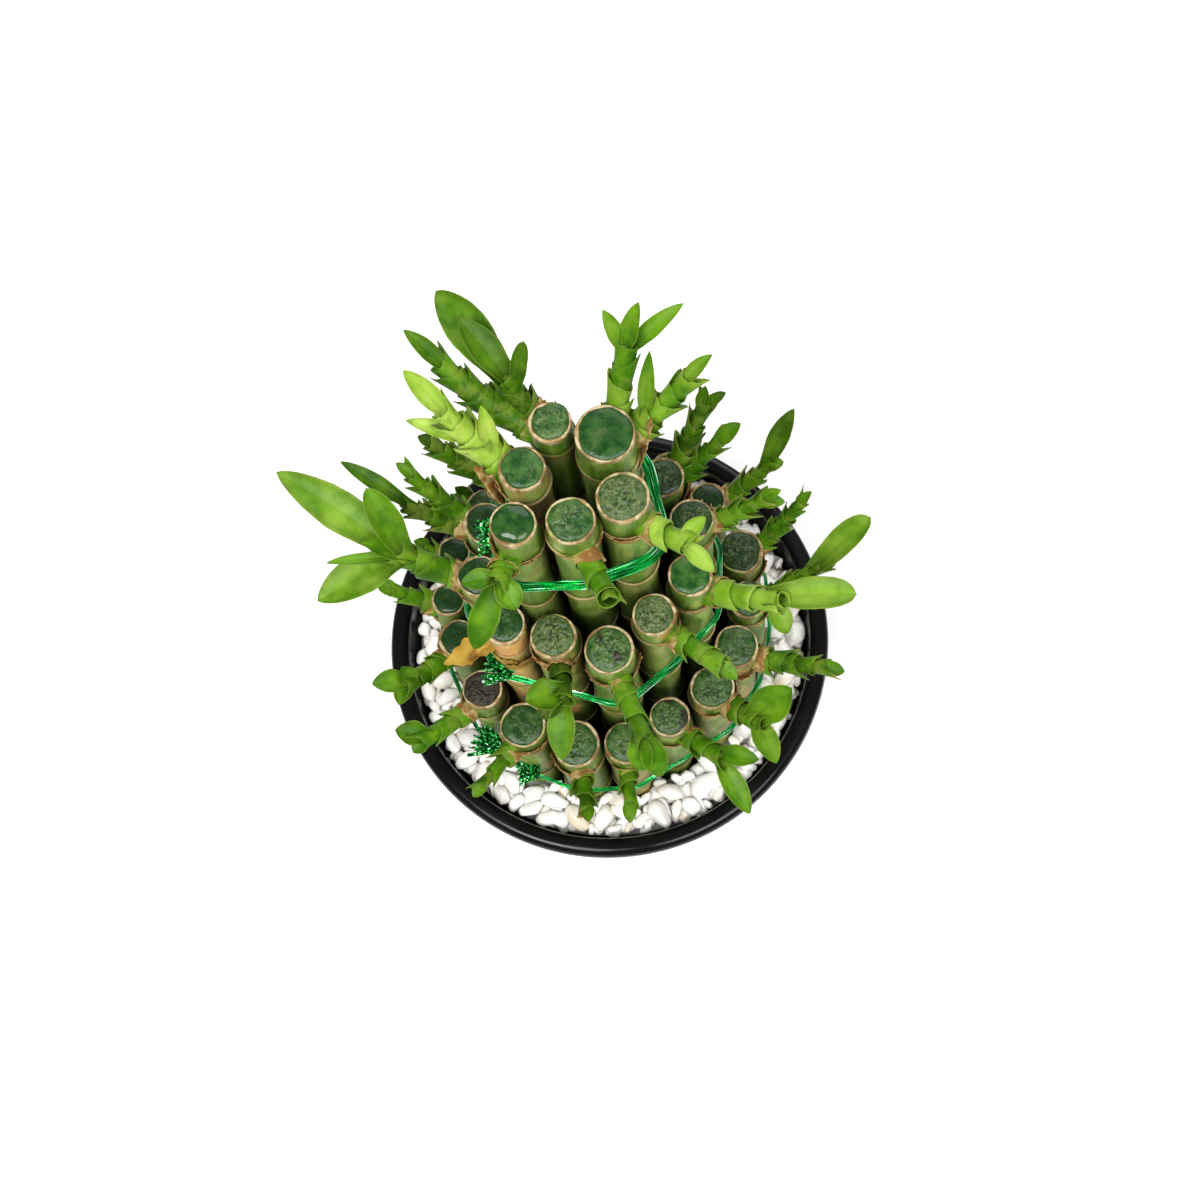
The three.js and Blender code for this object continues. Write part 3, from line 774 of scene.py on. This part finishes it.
def pebbles():
    rng = random.Random(11)
    canes = [(*spec.spot[:2], spec.radius + 0.1) for spec in OUTER_CANES]
    sphere, faces = ball()
    build = Build()
    for level, sizes, shade in LAYERS:
        for stone in scatter(rng, level, sizes, canes):
            # painted shade by layer, with a random darker tone on some stones
            tone = min(1, shade + 0.25 * rng.random() ** 3)
            beige = rng.random() ** 5
            build.add(stone_points(sphere, rng, *stone), faces, look=(tone, beige, 0))
    standing = polar(204, 50.2, 62)
    build.add(stone_points(sphere, rng, standing, 30, 5.2, 2.3, 75), faces)
    angle = circle(TURNS)
    wavy = CORE_TOP + 0.5 * np.sin(31 * angle)
    inner, floor, lip = BED_INNER_RADIUS, BOWL_FLOOR + 0.4, BOWL_LIP_RADIUS
    rows = [(inner, floor), (BOWL_FLOOR_RADIUS - 0.8, floor), (lip - 2.8, 46), (lip - 2, wavy), (52, wavy),
            (inner + 1.5, wavy), (inner, floor)]
    grid = np.array([ring(radius, angle, z) for radius, z in rows])
    # the bed under the stones gets heavy painted shade, so the gaps between them look dark
    build.add(grid, grid_faces(len(grid), TURNS, True), look=(0.8, 0, 0))
    piece = build.make("pebbles_white", [PEBBLE])
    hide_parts("pebbles")


# ---------- canes ----------

SKIN_SLOT, LEAF_SLOT = 0, 1
CANE_COLUMNS = 44
JOINT_OFFSETS = (-5, -3.2, -2.2, -1.4, -0.8, -0.4, -0.15, 0.1, 0.35, 0.6, 0.85, 1.1, 1.4, 2, 3, 4.5)
TOP_DROPS = (3.4, 2.6, 1.9, 1.3, 0.8, 0.35)
FLATNESS = 0.82  # how tall a shoot is for its width


def joint_heights(top, stagger):
    heights = []
    height = top - FIRST_JOINT_DROP - stagger
    while height > CANE_BOTTOM + 6:
        heights.append(height)
        height -= JOINT_PITCH
    return heights


def crowding(points, outward, heights, others):
    """How much painted shade falls on a cane's skin at each height and column from the canes that stand close
    round it.
    """
    light = np.ones((len(heights), len(points)))
    for x, y, radius, top in others:
        away = np.array([x, y]) - points
        distance = np.linalg.norm(away, axis=1)
        facing = np.clip((away * outward).sum(1) / distance, 0, 1)
        near = smooth(1 - (distance - radius) / 12) * facing
        cover = smooth((top - 1 - heights) / 13)[:, None]
        light = light * (1 - 0.85 * near[None, :] * cover)
    return 1 - light


def stick(build, spec, top, stagger, others, rng):
    """The cane itself: rounded, with swollen joints ringed by a scar, and a sawn top."""
    radius, spot = spec.radius, spec.spot
    joints = joint_heights(top, stagger)
    heights = {round(joint + offset, 2) for joint in joints for offset in JOINT_OFFSETS}
    heights |= {round(float(z), 2) for z in np.arange(CANE_BOTTOM, top - 4.5, 5)}
    heights |= {top - drop for drop in TOP_DROPS}
    heights = np.array(sorted(z for z in heights if CANE_BOTTOM <= z <= top - 0.3))
    angle = circle(CANE_COLUMNS)
    around = vec(np.cos(angle), np.sin(angle))
    oval = ripple(rng, 3, 0.014 * radius)(angle)
    crooked = [ripple(rng, 5, 0.3)(angle) for _ in joints]
    sizes = draws(rng, 0.3, 0.75, len(joints))
    lean = draws(rng, -0.25, 0.25, 2)
    yellow = spec.yellow * rng.uniform(0.8, 1.0)
    saw = ripple(rng, 8, 0.12)(angle)
    nicks = draws(rng, -0.06, 0.02, CANE_COLUMNS) + ripple(rng, 13, 0.12)(angle)
    # painted shade from the canes close round it, standing in for the shadow between them
    dark = crowding(spot[:2] + radius * around, around, heights, others)
    rows, form, look = [], [], []
    for z, crowded in zip(heights, dark):
        swell, scar, line = np.zeros((3, CANE_COLUMNS))
        for joint, wander, size in zip(joints, crooked, sizes):
            away = z - joint - wander
            swell = swell + size * hump(away, 0, 1.9) + 0.28 * hump(away, 0.35, 0.3)
            swell = swell - 0.22 * hump(away, 1.05, 0.35)
            scar = scar + hump(away, 0.25, 0.6)
            line = line + 0.8 * hump(away, 1.0, 0.25)
        above = min([joint for joint in joints if joint > z], default=top + 12)
        phase = 1 - (above - z) / JOINT_PITCH
        waist = 0.12 * math.sin(math.pi * min(max(phase, 0), 1))
        shape = (radius + oval + swell - waist)[:, None] * around
        middle = spot[:2] + lean * (z - CANE_BOTTOM) / 200
        rows.append(vec(*(middle + shape).T, z))
        form.append(vec(scar, phase, smooth((z - (top - 5.5)) / 5.5)))
        # painted shade that grows from 50 mm below the top downwards, joined with the shade from close canes
        low = 0.8 * smooth((top - 50 - z) / 50)
        look.append(vec(yellow, 1 - (1 - crowded) * (1 - low), line))
    centre = np.array([spot[0] + lean[0], spot[1] + lean[1], 0])
    for inset, drop in ((0.1, 0.12), (0.35, 0.0), (RIND, 0.04), (RIND + 0.3, 0.45), (radius * 0.6, 0.5)):
        reach = (radius + oval - inset + (nicks if inset < RIND else 0))[:, None] * around
        height = top - drop + saw * (0.9 if inset < RIND else 0.3)
        rows.append(vec(*(centre[:2] + reach).T, height))
        form.append(vec(0 * saw, 0.9, 1.0))
        look.append(vec(yellow + 0 * saw, 0, 0))
    build.add(np.array(rows), tube_faces(len(rows), CANE_COLUMNS), SKIN_SLOT, np.array(form), np.array(look))
    return centre


def hue(tone, dry=0, mottle=0, fade=3):
    """The colour of a sheath or a blade. fade: how late a sheath turns dry towards its edge."""
    return Spec(**locals())


def sheath(build, spine, start, end, radii, lobe, look, rng):
    """A clasping sheath, open at its end, drawn out to a point on the lobe's side."""
    columns, rows = 36, 9
    around = circle(columns)
    away = np.abs((around + math.pi) % (2 * math.pi) - math.pi)
    point = np.maximum(0, 1 - away / lobe.width) ** 1.1
    second = 0.5 * np.maximum(0, 1 - (math.pi - away) / 1.1) * lobe.second
    cut = np.maximum(0, away / math.pi - 0.5) * 0.9
    teeth = draws(rng, -1, 1, columns)
    torn = ripple(rng, 11, lobe.torn)(around) + 0.55 * lobe.torn * teeth
    rim = lobe.length * (point + second) - lobe.cut * cut + torn
    dents = ripple(rng, 5, 0.1)(around)
    length = np.linalg.norm(spine.tip - spine.root)
    side = np.where(np.arange(columns) < columns / 2, 0.7, -0.7) * away / math.pi
    grid, form, shade = np.empty((3, rows, columns, 3))
    for row in range(rows):
        v = row / (rows - 1)
        spread = radii[0] + (radii[1] - radii[0]) * v + dents * np.sin(3 * v + around)
        spread = spread + lobe.flare * v ** 2.4 * (0.1 + point + second)
        for column in range(columns):
            turn = lobe.angle + around[column]
            t = start + v * (end - start) + v ** 1.7 * rim[column] / length
            left, up = spine.across(t)
            outward = math.cos(turn) * left + FLATNESS * math.sin(turn) * up
            grid[row, column] = spine.point(t) + spread[column] * outward
        form[row] = vec(side, v, look.dry * (0.35 + 0.65 * point) * v ** look.fade)
        shade[row] = vec(look.tone + 0.14 * v, max(0, 0.65 - 1.9 * v), look.mottle)
    form[-1, :, 0] = 1
    thick = np.linspace(0.4, 0.14, rows)[:, None]
    grid, form, shade = (layer[:, ::-1] for layer in (grid, form, shade))
    thick_sheet(build, grid, thick, True, LEAF_SLOT, form, shade)


def blade(build, root, spec, look, rng, curl=85, ruffle=0.12, ragged=0.025):
    """A leaf, rolled round the stem at its foot and opening into a shallow channel."""
    rows, columns = 30, 13
    tip = root + direction(spec.heading, spec.rise) * spec.length
    crown = root + direction(spec.heading, spec.rise + 14) * spec.length * 0.5
    spine = Spine(root, crown, tip, spec.heading)
    across = np.linspace(-1, 1, columns)
    wave = rng.uniform(0, 2 * math.pi)
    roll = math.radians(rng.uniform(-14, 14))
    bluntness = rng.uniform(2.0, 2.6) + 2 * spec.blunt
    edges = [ripple(rng, 25, ragged) for _ in range(2)]
    grid, form = np.empty((2, rows, columns, 3))
    for row in range(rows):
        s = (row / (rows - 1)) ** 0.9
        grow = 0.5 + 0.5 * smooth(s / 0.55)
        taper = max(0.0, 1 - max(0.0, (s - 0.44) / 0.56) ** bluntness) ** (0.78 - 0.25 * spec.blunt)
        half = max(0.05, spec.width / 2 * grow * taper)
        bend = math.radians(200 + (curl - 200) * smooth(s / 0.42))
        radius = half / max(math.sin(min(bend / 2, math.pi / 2)), 0.3)
        turn = across * bend / 2
        left, up = spine.across(s)
        side = math.cos(roll) * left + math.sin(roll) * up
        lift = math.cos(roll) * up - math.sin(roll) * left
        worn = [1 + edge(s * math.pi) for edge in edges]
        x = radius * np.sin(turn) * np.where(across < 0, *worn)
        y = radius * (1 - np.cos(turn)) - 0.16 * hump(across, 0, 0.12)
        y = y + ruffle * np.sin(s * 8 + wave + across) * across ** 2 * min(1, half)
        grid[row] = spine.point(s) + np.outer(x, side) + np.outer(y, lift)
        form[row] = vec(across, s, look.dry)
    along = np.linspace(0, 1, rows)[:, None]
    thin = 0.5 * (1 - 0.75 * across ** 2)[None, :] * (1 - 0.5 * along)
    groove = 0.3 * hump(across, 0, 0.1)[None, :] * (1 - along)
    shade = vec(look.tone + 0.1 * (0.7 - along), 0.6 * smooth(1 - 2.6 * along) + groove, look.mottle)
    grid, thin, form, shade = (layer[:, ::-1] for layer in (grid, thin, form, shade))
    thick_sheet(build, grid, thin, False, LEAF_SLOT, form, shade)


def stem(build, spine, first, last, girth, tone):
    """The solid middle of a shoot, inside its sheaths."""
    rows, columns = 12, 16
    angle = circle(columns)
    grid = []
    for t in np.linspace(first, last, rows):
        half = girth * 0.36 * (1 - 0.55 * t)
        left, up = spine.across(t)
        outward = np.outer(np.cos(angle), left) + FLATNESS * np.outer(np.sin(angle), up)
        grid.append(spine.point(t) + half * outward)
    # the stem gets some painted shade, as it sits inside its sheaths
    build.add(np.array(grid), tube_faces(rows, columns), LEAF_SLOT, (0.5, 0.5, 0), (tone + 0.15, 0.4, 0.5))


def papery_band(build, centre, radius, z, heading, spread, height, tone, rng, flare=0.8):
    """A dry scale left round part of a joint, ragged along its top."""
    columns, rows = 40, 7
    turn = np.linspace(-1, 1, columns)
    torn = ripple(rng, 13, 0.28)(turn * math.pi) + draws(rng, -0.12, 0.12, columns)
    tall = height * np.maximum(0.12, (1 - turn ** 2) ** 0.6 * (0.85 + torn))
    v = np.linspace(0, 1, rows)[:, None]
    out = radius + 0.3 + flare * v * v * tall / height + 0.4 * torn * v
    grid = ring(out, np.radians(heading + turn * spread), z - 0.9 + v * (tall + 0.9)) + centre
    thick_sheet(build, grid, 0.16, False, LEAF_SLOT, vec(turn, v, 0.65 + 0.25 * v), (tone, 0, 0))


def cup(build, foot, heading, half, tone, rng):
    """A rolled young leaf seen into from above: an upturned cup, with a disc of painted shadow inside."""
    upturned = Spine(foot, foot + direction(heading, 30) * 2.4, foot + direction(heading, 52) * 6, heading)
    for start, end, radii, angle, look in ((0, 1, (0.8, 1), 2.6, hue(tone + 0.1, 0, 0.5)),
                                           (0.1, 0.7, (0.6, 0.7), 5, hue(0))):
        rim = Spec(angle=angle, length=1.2, width=2.4, cut=0.3, flare=0.9, torn=0.2, second=0)
        sheath(build, upturned, start, end, (half * radii[0], half * radii[1]), rim, look, rng)
    # a disc of painted shadow in the cup's mouth, at full shade
    left, up = upturned.across(0.3)
    middle, reach = upturned.point(0.42), half * 0.85
    dark = [middle + reach * (math.cos(a) * left + FLATNESS * math.sin(a) * up) for a in circle(16)]
    build.add(np.array(dark), [tuple(range(16))], LEAF_SLOT, (0.5, 0.5, 0), (0, 1, 0))


def grow_shoot(build, eye, spec, cane_radius, rng):
    heading, rise, reach, girth = spec.heading, spec.rise, spec.reach, spec.girth
    tone, jag = spec.tone, spec.jag
    tip = eye + direction(heading, rise) * reach
    elbow = eye + direction(heading + spec.turn, rise - 12) * reach * 0.5
    spine = Spine(eye, elbow, tip, heading)
    skin_at = cane_radius / reach
    count = max(2, round((1 - skin_at) * reach / (6.8 - 3.0 * jag)))
    edges = np.linspace(skin_at * 0.8, spec.stop, count + 1)
    open_ended = not spec.leaves and jag < 0.5
    stem(build, spine, skin_at * 0.5, 0.8 if open_ended else spec.stop + 0.01, girth, tone)
    for index in range(count):
        start, end = edges[index], edges[index + 1]
        narrow = 1 - (0.42 if jag > 0.5 else 0.12) * smooth((end - 0.4) / 0.6)
        half = girth / 2 * (1.1 if index == 0 else 1.0) * narrow * rng.uniform(0.92, 1.06)
        lobe = Spec(
            angle=(0 if index % 2 else math.pi) + rng.uniform(-0.5, 0.5),
            length=rng.uniform(0.6, 1.25) * (2.2 + 1.7 * jag) * (0.6 + 0.4 * girth / 6),
            width=rng.uniform(0.9, 1.6),
            cut=2.0,
            flare=0.3 + 1.1 * jag,
            torn=0.12 + 0.26 * jag,
            second=max(0, 2 * jag - 1) * rng.uniform(0.4, 1),
        )
        shade = tone + rng.uniform(-0.14, 0.12)
        look = hue(shade, rng.choice((0, 0.3, 0.6)) if jag > 0.5 else 0.2, 0.3 + 0.25 * jag)
        sheath(build, spine, start - 0.05, end + 0.03, (half * 0.8, half * 0.95), lobe, look, rng)
    if open_ended:
        cup(build, spine.point(0.8), heading, girth * 0.4, tone, rng)
    if spec.leaves and jag < 0.2:
        cup(build, spine.point(0.86), heading, girth * 0.24, tone, rng)
    collar = Spec(angle=rng.uniform(0, 6.28), length=1.6, width=2, cut=1, flare=0.4, torn=0.5, second=0)
    skin = 0.86 * skin_at
    girths = (girth * 0.5, girth * 0.55)
    sheath(build, spine, skin - 0.05, skin + 3.0 / reach, girths, collar, hue(0.45, 1.5, 1, 0.8), rng)
    for spread in spec.leaves:
        look = hue(tone + spread.fresh + rng.uniform(0, 0.14), 0, 0.15)
        blade(build, spine.point(spread.start), spread, look, rng)
    if not spec.leaves and not open_ended:
        bud = leaf(heading + rng.uniform(-15, 15), rise + 12, max(5, girth), girth * 0.8)
        blade(build, spine.point(0.86), bud, hue(tone + 0.1, 0, 0.2), rng, 170)


def dry_shoot(build, eye, spec, cane_radius, centre, rng):
    """The one withered shoot: torn yellow scales wrapped round the cane, and a ragged blade hanging off."""
    for spread in spec.leaves:
        reach = spec.reach * 0.86 + spread.length
        for turn, share, width in ((-3, 1, 5.4), (9, 0.62, 4.8)):
            hanging = leaf(spread.heading + turn, -6 + turn, reach * share, width)
            foot = eye + direction(spread.heading, -10) * 0.5
            blade(build, foot, hanging, hue(1.4, 1.5, 1), rng, 120, 0.5, 0.3)
    papery_band(build, centre, cane_radius, eye[2] - 9, spec.heading + 20, 62, 11.5, 1.4, rng)
    papery_band(build, centre, cane_radius + 0.2, eye[2] - 12, spec.heading + 85, 40, 7, 1.3, rng)


WAX_LOOKS = {  # lump height, lump size, dome, roughness, olive bloom, pits, crinkled share, scorched share
    "smooth": (0.05, 2.6, 0.35, 0.3, 0.0, 0.0, 0.1, 0),
    "glossy": (0.03, 3.5, 0.80, 0.0, 0.0, 0.0, 0.0, 0),
    "matt": (0.12, 1.8, 0.30, 0.4, 0.1, 0.3, 0.3, 0),
    "rough": (0.2, 1.3, 0.40, 0.45, 0.2, 0.6, 0.5, 0),
    "bubbly": (0.42, 1.1, 0.45, 0.6, 0.8, 0.9, 0.7, 0),
    "grainy": (0.3, 1.0, 0.45, 0.5, 0.4, 0.7, 0.7, 0.3),
    "burnt": (0.42, 1.1, 0.45, 0.75, 0.5, 0.8, 0.6, 1.5),
}


def wax_cap(build, spec, centre, top, rng):
    """A poured cap: a low dome of wax with a wavering edge and, on some, a skin of burst bubbles."""
    height, size, dome, rough, olive, pitted, crinkled, scorched = WAX_LOOKS[spec.wax]
    rings, columns = 22, 60
    angle = circle(columns)
    reach = spec.radius - RIND + np.minimum(0.05 + ripple(rng, 9, 0.26)(angle), RIND * 0.8)
    share = (1 - (np.arange(rings) / rings) ** 1.1)[:, None]
    flat = ring(share * reach, angle, 0)
    seed = rng.uniform(0, 90)
    rise = dome * (1 - share ** 2.4) + 0.3 * (1 - share ** 12)
    rough_top = lumps(flat, size, seed) + 0.6 * lumps(flat, size * 0.4, seed + 9)
    rise = rise + height * (1 - share ** 9) * rough_top
    patch = smooth((lumps(flat, 3.2, seed + 5) + crinkled - 0.15) / 0.3)
    patch = patch * (1 - share ** 4) * min(1, 2 * crinkled)
    folds = lumps(flat, 1.0, seed + 33) + 0.7 * lumps(flat, 0.5, seed + 40)
    crest = smooth(1 - np.abs(folds) / 0.16) * patch
    burst = smooth((lumps(flat, size * 0.8, seed + 21) - 0.16) / 0.2) * pitted * patch
    scorch = min(1, 3 * scorched) * smooth((lumps(flat, 3.0, seed + 50) + scorched - 0.5) / 0.25)
    grid = flat + np.array([centre[0], centre[1], top + 0.08])
    grid[..., 2] += rise - 0.32 * burst + 0.2 * crest
    skirt = grid[:1].copy()
    skirt[..., 2] = top - 0.6
    grid = np.concatenate([skirt, grid])
    look = np.zeros_like(grid)
    # the look carries painted shade in the burst pits and a painted highlight on the crests
    look[1:] = vec(0.8 * burst, 0.85 * crest, scorch)
    dark = min(1, max(0, spec.dark + rng.uniform(-0.05, 0.05)))
    build.add(grid, tube_faces(rings + 1, columns), 0, (rough, dark, olive), look)


def tops():
    """Where every cane stands, how thick it is and how high it reaches."""
    canes = [(spec, tier["top"] + spec.extra) for tier in TIERS for spec in tier["canes"]]
    return [(*spec.spot[:2], spec.radius, top) for spec, top in canes]


def tier_canes(tier):
    rng = random.Random(len(tier["canes"]) * 7)
    wax = Build()
    standing = tops()
    for index, spec in enumerate(tier["canes"]):
        name = f"cane_{tier['name']}_{index + 1:02d}"
        radius = spec.radius
        top = tier["top"] + spec.extra
        stagger = (index % 2) * 4
        others = [c for c in standing if 1 < math.dist(c[:2], spec.spot[:2]) < 30]
        build = Build()
        centre = stick(build, spec, top, stagger, others, rng)
        eye = spec.spot + np.array([0, 0, top - FIRST_JOINT_DROP - stagger / 2])
        joint = top - FIRST_JOINT_DROP - stagger
        for grown in spec.shoots:
            if spec.yellow == 1:
                dry_shoot(build, eye, grown, radius, centre, rng)
                continue
            grow_shoot(build, eye, grown, radius, rng)
            for _ in range(2 + round(3 * spec.yellow)):
                side = grown.heading + rng.uniform(-60, 60)
                height = rng.uniform(2.4, 4.5 + 6 * spec.yellow)
                z = joint + rng.uniform(-2.5, 1)
                papery_band(build, centre, radius, z, side, rng.uniform(30, 70), height, 0.2, rng)
        for side, drop, spread, height, flare in spec.husks:
            torn = random.Random(side)
            papery_band(build, centre, radius + 0.2, top - drop, side, spread, height, 0.2, torn, flare)
        piece = build.make(f"{name}_grown", [SKIN, LEAF])
        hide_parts(name)
        wax_cap(wax, spec, centre, top, rng)
    wax.make(f"wax_caps_{tier['name']}", [WAX])


# ---------- foil ties ----------

PLEATS = np.array([0.0, 1.0, -0.3, 0.9, 0.0, 1.1, -0.2, 0.7, 0.0])


def tight_outline(canes, margin):
    """The outline of a band pulled tight round a tier's canes, as evenly spaced points."""
    rims = []
    for spec in canes:
        rims += [tuple((spec.spot + polar(step * 10, spec.radius + margin))[:2]) for step in range(36)]
    rims = sorted(rims)

    def half(points):
        chain = []
        for p in points:
            while len(chain) > 1:
                (ax, ay), (bx, by) = chain[-2:]
                if (bx - ax) * (p[1] - ay) - (by - ay) * (p[0] - ax) > 1e-9:
                    break
                chain.pop()
            chain.append(p)
        return chain[:-1]

    hull = np.array(half(rims) + half(rims[::-1]))
    hull = np.concatenate([hull, hull[:1]])
    steps = np.concatenate([[0], np.cumsum(np.linalg.norm(np.diff(hull, axis=0), axis=1))])
    even = np.linspace(0, steps[-1], int(steps[-1] / 0.8), endpoint=False)
    return vec(*(np.interp(even, steps, hull[:, axis]) for axis in (0, 1)))


def ribbon(build, path, widths, twists, closed, pleat, shift, stride, loose=0):
    """A pleated strip of foil along a path, with its width and twist at each point."""
    across = np.linspace(-0.5, 0.5, len(PLEATS))
    ahead = (np.roll(path, -1, 0) - np.roll(path, 1, 0)) if closed else np.gradient(path, axis=0)
    ahead = ahead / np.linalg.norm(ahead, axis=1, keepdims=True)
    grid = np.empty((len(path), len(PLEATS), 3))
    for i, (point, way) in enumerate(zip(path, ahead)):
        out = unit(np.cross(way, [0, 0, 1]))
        up = unit(np.cross(out, way))
        c, s = math.cos(twists[i]), math.sin(twists[i])
        wide, proud = c * up - s * out, c * out + s * up
        middle = point + out * abs(s) * widths[i] / 2
        grid[i] = middle + np.outer(across * widths[i], wide) + np.outer(PLEATS * pleat, proud)
    if closed:
        grid = np.concatenate([grid, grid[:1]])
    form = vec(across * 2, (shift + np.arange(len(grid)) * stride)[:, None], loose)
    thick_sheet(build, grid, 0.1, False, 0, form, (0, 0, 0))


def tuft(build, knot, spec, rng):
    """The twisted-off ends: a brush of narrow, crinkled strips."""
    layers, strands, steps = 4, 9, 10
    side = polar(spec.heading + 90, 1)
    for layer in range(layers):
        for strand in range(strands):
            lean = (strand - 4) * 6.5 + 4 + rng.uniform(-5, 5)
            way = direction(spec.heading + lean, (layer - 1.5) * 11 + rng.uniform(-8, 8) + 14)
            start = knot + side * (strand - 4) * 0.3 + np.array([0, 0, (layer - 1.5) * 0.6])
            length = spec.length * rng.uniform(0.6, 1.0)
            zig = polar(spec.heading + lean + 90, 0.12, 0.22)
            path = [start + way * length * k / steps + zig * (1 if k % 2 else -1) for k in range(steps + 1)]
            widths = np.full(steps + 1, rng.uniform(0.7, 1.1))
            twists = rng.uniform(0.4, 1.6) + np.arange(steps + 1) * rng.uniform(-0.1, 0.1)
            ribbon(build, np.array(path), widths, twists, False, 0.08, rng.uniform(0, 900), 1.7, 1)


def tie(tier, seed):
    rng = random.Random(seed)
    height = tier["top"] - tier["tie_drop"]
    outline = tight_outline(tier["canes"], TIE_GAP)
    angle = circle(len(outline))
    path = vec(*outline.T, height + ripple(rng, 5, 0.5)(angle))
    widths = tier["ribbon"] * (1 + ripple(rng, 9, 0.16)(angle))
    twists = 0.95 + ripple(rng, 9, 0.25)(angle)
    build = Build()
    ribbon(build, path, widths, twists, True, 0.09 * tier["ribbon"], 0, 0.11)
    for spec in tier["tufts"]:
        turn = np.arctan2(outline[:, 1], outline[:, 0]) - math.radians(spec.bearing)
        nearest = int(np.argmax(np.cos(turn)))
        tuft(build, np.array([*outline[nearest], height + 0.5]), spec, rng)
    piece = build.make(f"foil_tie_{tier['name']}", [FOIL], rounded=False)
    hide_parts(f"tie_{tier['name']}")


# ---------- making ----------

camera()
studio()
bowl()
pebbles()
for number, tier in enumerate(TIERS):
    tier_canes(tier)
    tie(tier, 31 + number)
